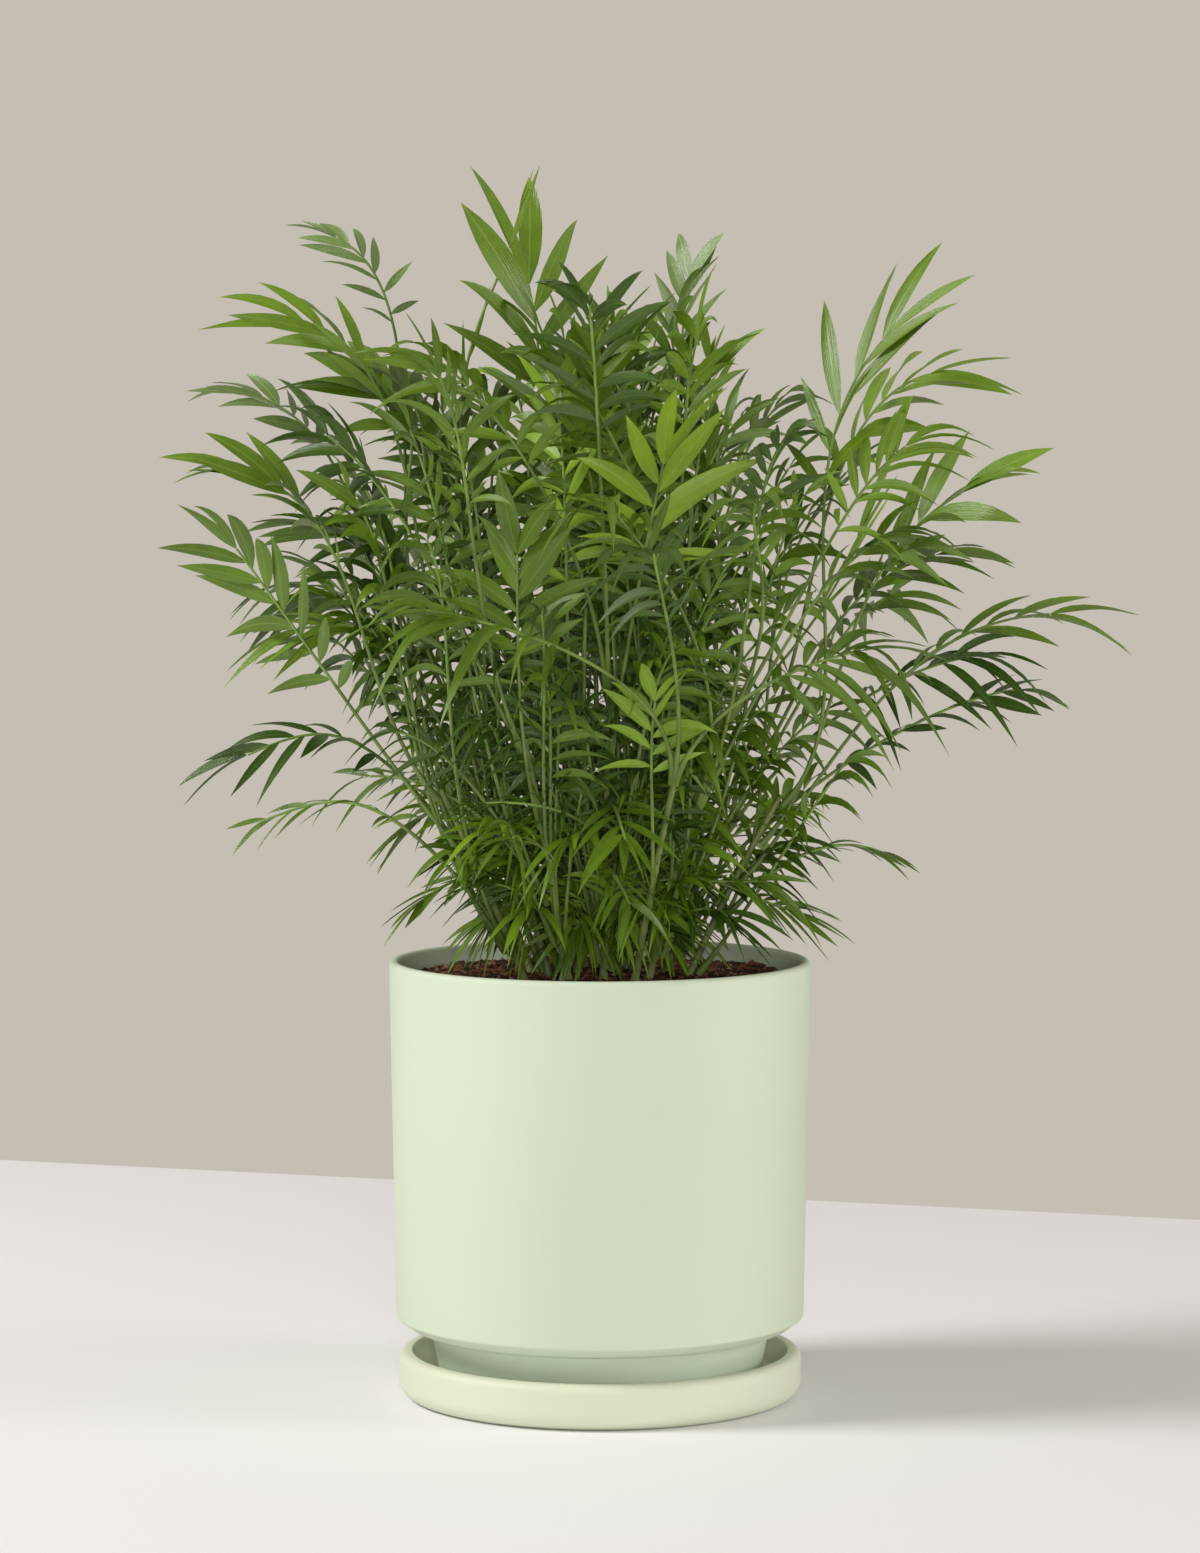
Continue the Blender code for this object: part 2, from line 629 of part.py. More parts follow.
def fused(name, bms, rib):
    """The fronds of a group and the sheath round their feet, joined into one solid."""
    foot, along, over, right = rib_place(rib, 0)
    bm = bmesh.new()
    low = ring(bm, foot, over, right, SHEATH_RADIUS, SHEATH_SIDES)
    end = foot + along * SHEATH_LENGTH
    high = ring(bm, end, over, right, SHEATH_RADIUS * SHEATH_TAPER, SHEATH_SIDES)
    bridge(bm, low, high)
    bm.faces.new(low)
    bm.faces.new(high)
    sheath = object_from(bm, name)
    members = bpy.data.collections.new(name)
    for i, member in enumerate(bms):
        obj = object_from(member, f"{name}_member_{i}")
        bpy.context.scene.collection.objects.unlink(obj)
        members.objects.link(obj)
    bpy.context.scene.collection.children.link(members)
    union = sheath.modifiers.new("union", "BOOLEAN")
    union.operation = "UNION"
    union.operand_type = "COLLECTION"
    union.collection = members
    union.solver = "EXACT"
    graph = bpy.context.evaluated_depsgraph_get()
    joined = bpy.data.meshes.new_from_object(sheath.evaluated_get(graph))
    sheath.modifiers.clear()
    sheath.data = joined
    for obj in list(members.objects):
        bpy.data.objects.remove(obj)
    bpy.data.collections.remove(members)
    return sheath


def fronds(around):
    """Every frond and group of fronds as its own object, clear of the objects around them."""
    ribs = grown_ribs()
    trees = []
    for obj in around:
        bm = bmesh.new()
        bm.from_mesh(obj.data)
        trees.append(BVHTree.FromBMesh(bm))
        bm.free()
    single = grouped = 0
    for group, bms in zip(ribs, frond_meshes(ribs, trees)):
        if len(group) == 1:
            single += 1
            obj = object_from(bms[0], f"frond_{single:02d}")
        else:
            grouped += 1
            obj = fused(f"frond_group_{grouped:02d}", bms, group[len(group) // 2])
        paint(obj, (0.085, 0.21, 0.035), 0.4)


def main():
    for obj in list(bpy.data.objects):
        bpy.data.objects.remove(obj)
    saucer()
    fronds([pot(), soil(), *(cane(i) for i in range(CANES))])


if __name__ == "__main__":
    main()
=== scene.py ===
"""The looks of a parlour palm in its pot and saucer, on a plain pale table.

The fronds grow by the same rule as the solid model's, and carry on to finer leaflets. Sizes are in
metres and +Z is up. The origin is at the centre of the saucer's underside, and -Y is the front.
"""

import math
import random
from collections import namedtuple
from itertools import pairwise

import bpy
import numpy as np
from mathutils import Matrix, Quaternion, Vector, noise


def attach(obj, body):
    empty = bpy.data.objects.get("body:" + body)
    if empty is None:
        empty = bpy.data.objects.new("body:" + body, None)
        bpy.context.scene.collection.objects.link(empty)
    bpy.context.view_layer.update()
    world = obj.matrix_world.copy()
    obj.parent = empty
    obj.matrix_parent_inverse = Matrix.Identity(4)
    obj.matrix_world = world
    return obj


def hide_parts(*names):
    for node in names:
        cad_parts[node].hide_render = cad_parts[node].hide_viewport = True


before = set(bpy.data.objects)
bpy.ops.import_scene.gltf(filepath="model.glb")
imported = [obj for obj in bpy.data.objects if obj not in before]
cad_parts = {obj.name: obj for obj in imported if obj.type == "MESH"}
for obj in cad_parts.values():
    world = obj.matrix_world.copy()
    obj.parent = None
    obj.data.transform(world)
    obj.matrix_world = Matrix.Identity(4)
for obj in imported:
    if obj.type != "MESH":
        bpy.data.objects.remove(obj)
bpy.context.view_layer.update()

UP = Vector((0, 0, 1))
CLEAR = 0.0003  # the gap between pieces that rest on or grow from each other
BODY = "root"

# Saucer
SAUCER_RADIUS = 0.1245
SAUCER_HEIGHT = 0.028
SAUCER_WALL = 0.0085
SAUCER_FLOOR = 0.008
SAUCER_CORNER = 0.010  # the round of its lower edge
SAUCER_LIP = 0.005  # the round of its lip on the outside, and then on the inside
SAUCER_LIP_INSIDE = 0.001
SAUCER_COVE = 0.003  # the round between its floor and its wall

# Pot
POT_RADIUS = 0.130
POT_TOP = 0.270
POT_WALL = 0.0065
POT_TAPER = 0.0040  # how much less its radius is at the foot of the wall
POT_WALL_FOOT = 0.0498
POT_EDGE_RADIUS = 0.118  # where the chamfer under the wall ends
POT_EDGE_HEIGHT = 0.0440
POT_FOOT_RADIUS = 0.098  # of the narrower foot that stands in the saucer
POT_FOOT_TOP_RADIUS = 0.105
POT_FOOT_TOP = 0.0415
POT_FLOOR = 0.010
TURNED_SIDES = 160
EDGE_ROUND = 0.0022  # of the pot's outer corners
EDGE_ROOM = 0.45  # of the run between two corners, the most that one corner's round takes
SUPPORT = 0.0012  # between an edge's round and the ring that keeps its shading to itself
SUPPORT_ROOM = 0.04  # of the run between two corners, the most of that too

# Soil
SOIL_TOP = 0.2585
SOIL_RINGS = 26
SOIL_LUMPS = 0.0032
SOIL_NOISE = (45, 0.6), (120, 0.3), (330, 0.2)  # how fine each size of lump is, and its share
SOIL_RISE = 0.0015
SOIL_LEVEL = 0.55  # the share of its radius where it starts to sink
SOIL_FALL = 0.0022  # how far it sinks against the pot
SOIL_CORNER = 0.002
SOIL_BRIM = 0.003

# Crumbs and flakes of bark on the soil, in three kinds. Here and below, a colour written as three
# whole numbers is its value on screen, from 0 to 255.
Bark = namedtuple("Bark", "name count seed sizes dark warm")
BARK = (
    Bark("bark_dark", 1400, 3, (0.0012, 0.0042), (44, 28, 20), (84, 54, 38)),
    Bark("bark_warm", 1000, 4, (0.0012, 0.0050), (96, 58, 36), (150, 100, 66)),
    Bark("bark_pale", 420, 5, (0.0010, 0.0034), (150, 116, 84), (186, 156, 122)),
)
BARK_WIDTHS = 0.45, 0.9  # as shares of a flake's length, the narrowest and the widest
BARK_DEPTHS = 0.18, 0.45
BARK_ROUGH = 0.75, 1.2  # how far its corners are pushed in and out
BARK_TILT = 0.5
BARK_LIFT = 0.12
BARK_MARGIN = 1.2  # of the largest flake, how far they all stay from the pot

# Canes
CANES = 14
CLUMP_RADIUS = 0.056
CANE_FOOT_RADIUS = 0.0030
CANE_TIP_RADIUS = 0.0021
CANE_LENGTHS = 0.205, 0.120  # in the middle of the clump, and at its edge
CANE_LEAN = math.radians(24)
CANE_BOW = 0.008
CANE_STEPS = 3
CANE_SIDES = 12
CANE_SCARS = 11
# A cane's outline in shares of its radius and its length: its foot, one leaf scar, and its end.
CANE_FOOT_OUTLINE = (1.45, 0), (1.30, 0.012), (1.05, 0.035)
CANE_SCAR_OUTLINE = (1.0, -0.012), (1.13, -0.004), (1.10, 0.004), (0.96, 0.010)
CANE_END_OUTLINE = (1.0, 0.985), (0.85, 1.0), (0.3, 1.006)
GOLDEN_TURN = math.radians(137.508)

# Fronds
STALK_RADIUS = 0.0017
RIB_TIP_RADIUS = 0.0008
SLENDER = 0.8  # real stems are finer than the solid ones
SHEATH_RADIUS = 0.0027
SHEATH_LENGTH = 0.022
SHEATH_FLARE = 0.7
FOOT_FAN = 0.2  # how far each foot turns from its group's way to its own tip's
SEAT_ANGLE = math.radians(15)
FIRST_SEAT, LAST_SEAT = 0.34, 0.97
CROWN_RADIUS = 0.27
CROWDING = 0.010  # how much further off a cane seems for each group that it bears
RIB_END = 0.86  # the share of a rib where its last pair grows
STALK_STEPS = 4
LINE_STEPS = 80
RIB_MARGIN = 0.0002
SWING_TURN = math.radians(2)
SWING_BOW = 0.004
SWING_TRIES = 33
PAIR_FOOT = 0.0042
SEED = 11

# Leaflets
LEAF_SPREAD = math.radians(60), math.radians(20)  # from the rib, at the first pair and the last
LEAF_SHARES = 0.72, 1.0, 0.86  # of the full length, at the first pair, the middle and the last
SHUT = 0.3  # a frond that is less open than this is a spear
SHUT_WIDTH = 0.35
PAIR_STAGGER = 0.22  # of the room between two pairs, how far a leaflet is from its pair's place
LEAF_JITTER = math.radians(11)
LEAF_CURL = 0.07  # how far its tip bends to the frond's tip, as a share of its length
LEAF_TWIST = math.radians(55)
LEAF_FOLD = 0.016  # along its midrib, as a share of its length
LEAF_THICKNESS = 0.007
LEAF_FOOT = 0.5  # of the rib's radius, how far out from its middle a leaflet starts

# The least and the most of each measure that leaflets differ in
FROND_WIDTHS = 0.85, 1.2
LEAF_WIDTHS = 0.85, 1.15
LEAF_LENGTHS = 0.84, 1.05
LEAF_LIFTS = -1, 1.4
LEAF_HANGS = 0.4, 1.5
LEAF_CURLS = 0.4, 1.4
TINTS = -0.3, 0.3

# How each kind of frond is leaved: its pairs and their length as shares of the solid model's, then
# a leaflet's width and how far its tip hangs as shares of its length, and the degrees it may rise.
Leaving = namedtuple("Leaving", "pairs length width droop lift")
OUTER = Leaving(1.0, 1.0, 0.155, 0.30, 10)
FILLING = Leaving(1.6, 0.84, 0.118, 0.55, 20)
LOW = Leaving(1.3, 0.66, 0.120, 0.50, 22)
LOW_HEIGHT = 0.44  # a filling frond whose tip is lower than this is leaved as a low one
INNER = Leaving(1.6, 1.05, 0.115, 0.62, 24)
HANG = (0.30, 0.42, 0.70), (0.7, 1.2, 0.75)  # heights, and how much of the droop there is at each
RIB_RINGS = 30
RIB_SIDES = 7

# A leaflet's own outline: shares of its length, and of its width there.
LEAF_ROWS = (
    (0.00, 0.10), (0.05, 0.34), (0.14, 0.72), (0.26, 0.95), (0.40, 1.00),
    (0.54, 0.92), (0.68, 0.73), (0.81, 0.47), (0.92, 0.20), (1.00, 0.015),
)

# The greens of the leaflets and of their veins
GREENS = {
    "lime": ((124, 154, 30), (152, 178, 66)),
    "fresh": ((114, 150, 30), (144, 172, 64)),
    "bright": ((100, 134, 24), (134, 160, 56)),
    "mid": ((82, 112, 20), (112, 138, 46)),
    "deep": ((58, 86, 20), (88, 116, 44)),
    "dusky": ((116, 144, 76), (150, 172, 112)),
}

# A frond is given by its tip, in degrees round from +X and in metres out and up; the degrees that
# its tip climbs and its blade rolls; its pairs of leaflets and the length of the longest; the share
# of its rib where they start; how far it has opened; and how strongly the rib rises from the cane
# and runs out to the tip, as shares of the way between them.
FROND_PARTS = "azimuth reach height climb roll pairs leaf start open rise run"
Frond = namedtuple("Frond", FROND_PARTS, defaults=(0.52, 1, 0.46, 0.26))

# The fronds that make the outline, each with its green.
OUTLINE = (
    (Frond(186, 0.228, 0.662, -10, -52, 6, 0.078, 0.57, 1, 0.30, 0.50), "bright"),
    (Frond(152, 0.245, 0.718, -12, -30, 6, 0.048, 0.66, 1, 0.30, 0.50), "dusky"),
    (Frond(172, 0.179, 0.631, 10, -40, 6, 0.080, 0.60, 1, 0.80, 0.50), "mid"),
    (Frond(166, 0.282, 0.624, -5, -20, 6, 0.052, 0.68, 1, 0.38, 0.50), "dusky"),
    (Frond(197, 0.262, 0.566, -12, -25, 7, 0.072, 0.55, 1, 0.38, 0.50), "bright"),
    (Frond(190, 0.236, 0.540, 50, 70, 7, 0.066, 0.47, 1, 0.30, 0.14), "mid"),
    (Frond(176, 0.218, 0.534, -15, 30, 7, 0.056, 0.62, 1, 0.30, 0.50), "mid"),
    (Frond(187, 0.217, 0.469, -10, -20, 7, 0.062, 0.34, 1, 0.80, 0.50), "bright"),
    (Frond(182, 0.245, 0.383, -25, -44, 6, 0.052, 0.38, 1, 0.80, 0.42), "deep"),
    (Frond(188, 0.226, 0.352, -15, -10, 6, 0.034, 0.34, 1, 0.80, 0.34), "mid"),
    (Frond(200, 0.118, 0.308, -45, 10, 6, 0.040, 0.34, 1, 0.38, 0.14), "mid"),
    (Frond(138, 0.083, 0.735, 58, -14, 4, 0.126, 0.68, 1, 0.30, 0.50), "bright"),
    (Frond(150, 0.060, 0.733, 90, 0, 2, 0.072, 0.47, 0.14, 0.80, 0.20), "lime"),
    (Frond(60, 0.136, 0.737, 55, -25, 6, 0.056, 0.65, 1, 0.30, 0.42), "dusky"),
    (Frond(-4, 0.222, 0.686, 26, 42, 5, 0.100, 0.60, 0.8, 0.30, 0.50), "bright"),
    (Frond(6, 0.252, 0.630, -12, 30, 6, 0.078, 0.58, 1, 0.30, 0.50), "bright"),
    (Frond(14, 0.183, 0.579, 75, -40, 3, 0.090, 0.68, 0.34, 0.38, 0.50), "fresh"),
    (Frond(-6, 0.272, 0.574, 10, 32, 7, 0.080, 0.58, 1, 0.30, 0.50), "bright"),
    (Frond(10, 0.253, 0.523, 0, 15, 7, 0.060, 0.57, 1, 0.38, 0.50), "mid"),
    (Frond(-3, 0.328, 0.476, -16, 18, 7, 0.070, 0.52, 1, 0.30, 0.50), "bright"),
    (Frond(5, 0.284, 0.432, -25, 20, 8, 0.044, 0.42, 1, 0.30, 0.20), "deep"),
    (Frond(-6, 0.189, 0.329, -35, -10, 6, 0.034, 0.34, 1, 0.46, 0.42), "mid"),
    (Frond(-12, 0.139, 0.299, -5, 30, 5, 0.046, 0.65, 1, 0.30, 0.50), "mid"),
    (Frond(-73, 0.150, 0.603, 50, 0, 5, 0.088, 0.60, 1, 0.30, 0.40), "lime"),
    (Frond(-112, 0.130, 0.563, 90, 12, 6, 0.070, 0.62, 1, 0.30, 0.50), "mid"),
    (Frond(-76, 0.150, 0.455, 40, 0, 5, 0.058, 0.60, 1, 0.30, 0.40), "fresh"),
    (Frond(-82, 0.115, 0.352, 20, 20, 5, 0.052, 0.34, 1, 0.46, 0.14), "mid"),
)

# Smaller ones between them, which the solid model leaves out.
BETWEEN = (
    (Frond(170, 0.128, 0.348, -35, 20, 6, 0.046, 0.42, 1, 0.62, 0.50), "bright"),
    (Frond(40, 0.038, 0.690, 40, 40, 6, 0.084, 0.62, 1, 0.30, 0.50), "mid"),
    (Frond(34, 0.148, 0.658, 50, 20, 5, 0.046, 0.70, 1, 0.62, 0.50), "mid"),
    (Frond(-14, 0.162, 0.404, 45, 30, 6, 0.044, 0.38, 1, 0.30, 0.14), "mid"),
    (Frond(-40, 0.108, 0.297, -45, -20, 5, 0.046, 0.34, 1, 0.30, 0.42), "deep"),
    (Frond(22, 0.220, 0.605, 25, -60, 4, 0.056, 0.53, 0.4, 0.30, 0.50), "deep"),
    (Frond(4, 0.160, 0.435, 25, -30, 6, 0.050, 0.45, 1, 0.30, 0.34), "mid"),
    (Frond(-8, 0.125, 0.372, 35, 20, 6, 0.042, 0.42, 1, 0.30, 0.34), "bright"),
    (Frond(-20, 0.120, 0.325, 20, 20, 5, 0.046, 0.42, 1, 0.30, 0.34), "mid"),
    (Frond(186, 0.205, 0.530, 25, 25, 6, 0.056, 0.50, 1, 0.30, 0.42), "mid"),
    (Frond(2, 0.112, 0.405, 40, 25, 6, 0.046, 0.40, 1, 0.30, 0.34), "mid"),
    (Frond(-6, 0.132, 0.348, 10, -20, 6, 0.044, 0.40, 1, 0.30, 0.34), "deep"),
    (Frond(10, 0.146, 0.385, 30, 20, 6, 0.046, 0.42, 1, 0.30, 0.34), "bright"),
    (Frond(-24, 0.140, 0.455, 35, 10, 6, 0.050, 0.42, 1, 0.30, 0.34), "mid"),
)

# The fronds that fill the front and the back, with the greens that each tier's groups take in turn.
Tier = namedtuple("Tier", "count together reach height climb pairs leaf greens")
TIERS = (
    Tier(3, 2, (0.085, 0.150), (0.660, 0.605), 46, 5, 0.084, ("bright", "mid")),
    Tier(5, 2, (0.225, 0.170), (0.560, 0.645), 16, 5, 0.082, ("mid", "bright", "deep")),
    Tier(4, 3, (0.250, 0.200), (0.460, 0.560), 2, 5, 0.078, ("deep", "mid")),
    Tier(4, 3, (0.180, 0.120), (0.400, 0.335), -20, 4, 0.062, ("deep", "mid")),
)
TIER_START = math.radians(28)
GROUP_FAN = math.radians(38)
GROUP_LIFTS = 0.0, 0.035, -0.025
FILL_ROLL = 24

# The young fronds inside the crown, whose dense part reaches this far out at each of these heights
DENSE_HEIGHTS = 0.286, 0.32, 0.40, 0.47, 0.55, 0.62, 0.66, 0.69
DENSE_REACHES = 0.060, 0.082, 0.110, 0.160, 0.205, 0.165, 0.090, 0.040
DENSE_SHIFT = 0.16  # how much further it reaches on the left, and less on the right
INNER_FRONDS = 200
INNER_LOWER = 1.35  # over 1, so that more of them stay low
INNER_REACHES = 0.2, 1.0
INNER_OUTER = 0.45  # under 1, so that more of them reach far
# Mostly darker greens, dealt to the fronds in the middle of the crown as painted shade.
SHADE_PAINTED_GREENS = "deep", "mid", "deep", "bright", "mid", "deep"
EDGE_GREENS = "mid", "bright", "fresh", "mid", "bright", "deep"
SHADED = 0.32, 0.78  # those between these shares, counted from the lowest, take the inner greens
# The newest frond that has opened, at the front, has room around it.
YOUNGEST = next(frond for frond, green in reversed(OUTLINE) if green == "lime")
YOUNGEST_ROOM = 0.11  # a young frond's tip nearer to it than this is drawn in
YOUNGEST_DRAW = 0.4
INNER_TURNS = -15, 15
INNER_CLIMBS = -35, 50
INNER_CLIMB_JITTER = -18, 18
INNER_LEAVES = 0.036, 0.062
INNER_LEAF_JITTER = 0.8, 1.2
INNER_PAIRS = 5
INNER_START = 0.50
INNER_ROLL = 45
INNER_SEATS = 0.03, 0.30
NEAR_CANES = 3

# Table, light and camera
TABLE_TURN = math.radians(-18)
TABLE_FAR = 0.815  # from the part's middle to the table's far edge
TABLE_HALF = 6
TABLE_DEPTH = 9
TABLE_DROP = 0.0002
Lamp = namedtuple("Lamp", "name place aim size power")  # aim is a height above the origin
LAMPS = (
    Lamp("key", (-2.7, -0.5, 2.6), 0.35, 1.2, 90),
    Lamp("fill", (2.7, -0.6, 0.9), 0.35, 1.2, 28),
    Lamp("front", (0.1, -3.4, 0.70), 0.45, 0.5, 30),
)
LAMP_COLOUR = 1.0, 0.99, 0.98
ROOM_LIGHT = 0.63
CAMERA_PLACE = 0, -2.9, 0.577
CAMERA_TILT = 3.83  # degrees down from level
CAMERA_LENS = 109.5
CAMERA_FRAME = 36

Cane = namedtuple("Cane", "foot lean out length")
Rib = namedtuple("Rib", "frond line side number")
Blade = namedtuple("Blade", "root way front face length width sink curl twist tint")


def outward(azimuth):
    return Vector((math.cos(azimuth), math.sin(azimuth), 0))


def mix(low, high, share):
    return low + (high - low) * share


# Making meshes by hand


def only(obj=None):
    """Leaves edit mode, and selects this object and nothing else."""
    if bpy.context.object and bpy.context.object.mode != "OBJECT":
        bpy.ops.object.mode_set(mode="OBJECT")
    bpy.ops.object.select_all(action="DESELECT")
    if obj:
        obj.select_set(True)
        bpy.context.view_layer.objects.active = obj


def drawn_up(name, sides, profile):
    """A disc drawn up, out and in through (radius, height) points, from its underside on."""
    only()
    while profile[1][1] - profile[0][1] < CLEAR / 100:
        profile = profile[1:]
    (foot, base), (radius, height) = profile[:2]
    depth = height - base
    bpy.ops.mesh.primitive_cone_add(
        vertices=sides, radius1=foot, radius2=radius, depth=depth, location=(0, 0, base + depth / 2)
    )
    obj = bpy.context.object
    obj.name = obj.data.name = name
    bpy.ops.object.transform_apply(location=True, rotation=True, scale=True)
    bpy.ops.object.mode_set(mode="EDIT")
    bpy.ops.mesh.select_mode(type="FACE")
    bpy.ops.mesh.select_all(action="DESELECT")
    bpy.ops.object.mode_set(mode="OBJECT")
    for face in obj.data.polygons:
        face.select = face.normal.z > 0.99 and len(face.vertices) == sides
    bpy.ops.object.mode_set(mode="EDIT")
    for (r0, z0), (r1, z1) in pairwise(profile[1:]):
        bpy.ops.mesh.extrude_region_move(TRANSFORM_OT_translate={"value": (0, 0, z1 - z0)})
        bpy.ops.transform.resize(value=(r1 / r0, r1 / r0, 1), center_override=(0, 0, z1))
    bpy.ops.mesh.select_all(action="SELECT")
    bpy.ops.mesh.normals_make_consistent(inside=False)
    only()
    return obj


def arc(centre, radius, start, end, steps):
    """Points of a turned profile along an arc, with its angles in degrees from outward to up."""
    angles = [math.radians(mix(start, end, i / steps)) for i in range(steps + 1)]
    return [(centre[0] + radius * math.cos(a), centre[1] + radius * math.sin(a)) for a in angles]


def smooth(obj, degrees):
    only(obj)
    bpy.ops.object.shade_smooth_by_angle(angle=math.radians(degrees))
    only()


def finished(obj, slot, *nodes):
    """Sets the piece on the body and hides the solids that it stands for. The slot is not used."""
    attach(obj, BODY)
    if nodes:
        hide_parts(*nodes)
    return obj


def joined_mesh(name, points, faces, uvs=None, tints=None, sharp=50):
    """One mesh from arrays: many copies of a small shape."""
    mesh = bpy.data.meshes.new(name)
    mesh.from_pydata(points.reshape(-1, 3), [], faces)
    if uvs is not None:
        layer = mesh.uv_layers.new(name="leaf")
        layer.data.foreach_set("uv", uvs.astype(np.float32).ravel())
    if tints is not None:
        mesh.attributes.new("tint", "FLOAT", "POINT").data.foreach_set("value", tints.astype(np.float32))
    mesh.shade_smooth()
    mesh.set_sharp_from_angle(angle=math.radians(sharp))
    obj = bpy.data.objects.new(name, mesh)
    bpy.context.scene.collection.objects.link(obj)
    return obj


# Finishes


COLOUR, NUMBER, VECTOR = "NodeSocketColor", "NodeSocketFloat", "NodeSocketVector"


def skin_group(name, first, second, amount):
    """A node group that takes two colours and an amount, and gives a colour, a roughness and a
    normal. What it takes and gives comes with it."""
    group = bpy.data.node_groups.new(name, "ShaderNodeTree")
    for title, kind in ((first, COLOUR), (second, COLOUR), (amount, NUMBER)):
        group.interface.new_socket(title, in_out="INPUT", socket_type=kind)
    for title, kind in (("Colour", COLOUR), ("Roughness", NUMBER), ("Normal", VECTOR)):
        group.interface.new_socket(title, in_out="OUTPUT", socket_type=kind)
    taken, given = group.nodes.new("NodeGroupInput"), group.nodes.new("NodeGroupOutput")
    return group, taken.outputs, given.inputs


def add(tree, kind, values=(), **settings):
    """A node with these settings. Each value is a number, a colour or another node's output."""
    node = tree.nodes.new(kind)
    for key, value in settings.items():
        setattr(node, key, value)
    for key, value in dict(values).items():
        if isinstance(value, bpy.types.NodeSocket):
            tree.links.new(value, node.inputs[key])
        else:
            node.inputs[key].default_value = value
    return node


def maths(tree, operation, first, second=0.0):
    return add(tree, "ShaderNodeMath", {0: first, 1: second}, operation=operation).outputs[0]


def blend_of(tree, factor, first, second, how="MIX"):
    values = {"Factor": factor, 6: first, 7: second}
    return add(tree, "ShaderNodeMix", values, data_type="RGBA", blend_type=how).outputs[2]


def spots(tree, coords, scale, detail=3.0, roughness=0.5):
    values = {"Vector": coords, "Scale": scale, "Detail": detail, "Roughness": roughness}
    return add(tree, "ShaderNodeTexNoise", values).outputs["Fac"]


def between(tree, value, low, high, to_low=0.0, to_high=1.0):
    values = {"Value": value, "From Min": low, "From Max": high, "To Min": to_low, "To Max": to_high}
    return add(tree, "ShaderNodeMapRange", values, clamp=True).outputs["Result"]


def give_skin(group, given, colour, roughness, height, strength, depth):
    """Sends a skin's colour, roughness and relief out of its group."""
    values = {"Strength": strength, "Distance": depth, "Height": height}
    normal = add(group, "ShaderNodeBump", values).outputs["Normal"]
    for title, value in (("Colour", colour), ("Roughness", roughness), ("Normal", normal)):
        group.links.new(value, given[title])


def leaf_group():
    """A leaf's skin: long veins, a pale midrib, a drying tip and soft blotches."""
    group, taken, given = skin_group("leaf_skin", "Green", "Vein green", "Veins")
    vein_green = taken["Vein green"]
    place = add(group, "ShaderNodeUVMap", uv_map="leaf").outputs["UV"]
    ways = add(group, "ShaderNodeSeparateXYZ", {0: place})
    across, along = ways.outputs["X"], ways.outputs["Y"]
    coords = add(group, "ShaderNodeTexCoord").outputs["Object"]
    tint = add(group, "ShaderNodeAttribute", attribute_name="tint").outputs["Fac"]
    blotch = spots(group, coords, 55.0, 4.0)
    own = maths(group, "MULTIPLY", tint, 0.5)
    shade = maths(group, "ADD", between(group, blotch, 0.3, 0.7, 0.86, 1.12), own)
    toned = blend_of(group, 1.0, taken["Green"], shade, "MULTIPLY")
    ridges = maths(group, "SINE", maths(group, "MULTIPLY", across, 75.0))
    stripes = between(group, ridges, -1.0, 1.0, 0.0, 0.22)
    veined = blend_of(group, maths(group, "MULTIPLY", stripes, taken["Veins"]), toned, vein_green)
    from_middle = maths(group, "ABSOLUTE", maths(group, "SUBTRACT", across, 0.5))
    midrib = between(group, from_middle, 0.05, 0.012)
    ribbed = blend_of(group, maths(group, "MULTIPLY", midrib, 0.75), veined, vein_green)
    uneven = maths(group, "ADD", along, maths(group, "MULTIPLY", tint, 0.05))
    tipped = blend_of(group, between(group, uneven, 0.975, 1.02), ribbed, (0.30, 0.20, 0.07, 1))
    fine = maths(group, "SINE", maths(group, "MULTIPLY", across, 190.0))
    low = maths(group, "ADD", maths(group, "MULTIPLY", ridges, 0.6), maths(group, "MULTIPLY", fine, 0.25))
    height = maths(group, "ADD", low, maths(group, "MULTIPLY", midrib, 1.5))
    roughness = between(group, blotch, 0.3, 0.7, 0.20, 0.36)
    give_skin(group, given, tipped, roughness, height, 0.35, 0.0002)
    return group


def glaze_group():
    """A matt glaze: faint clouds, a fine grain, and a little pooling of colour."""
    group, taken, given = skin_group("matt_glaze", "Glaze", "Thin glaze", "Grain")
    coords = add(group, "ShaderNodeTexCoord").outputs["Object"]
    clouds = spots(group, coords, 9.0, 3.0)
    grain = spots(group, coords, 900.0, 2.0)
    pits = spots(group, coords, 260.0, 5.0, 0.6)
    thin = between(group, clouds, 0.35, 0.75, 0.0, 0.55)
    pooled = blend_of(group, thin, taken["Glaze"], taken["Thin glaze"])
    flecks = between(group, pits, 0.74, 0.80, 0.0, 0.04)
    colour = blend_of(group, flecks, pooled, (0.40, 0.46, 0.30, 1))
    rough = maths(group, "MULTIPLY", grain, taken["Grain"])
    height = maths(group, "ADD", rough, maths(group, "MULTIPLY", pits, 0.8))
    roughness = between(group, clouds, 0.3, 0.7, 0.50, 0.60)
    give_skin(group, given, colour, roughness, height, 0.12, 0.0003)
    return group


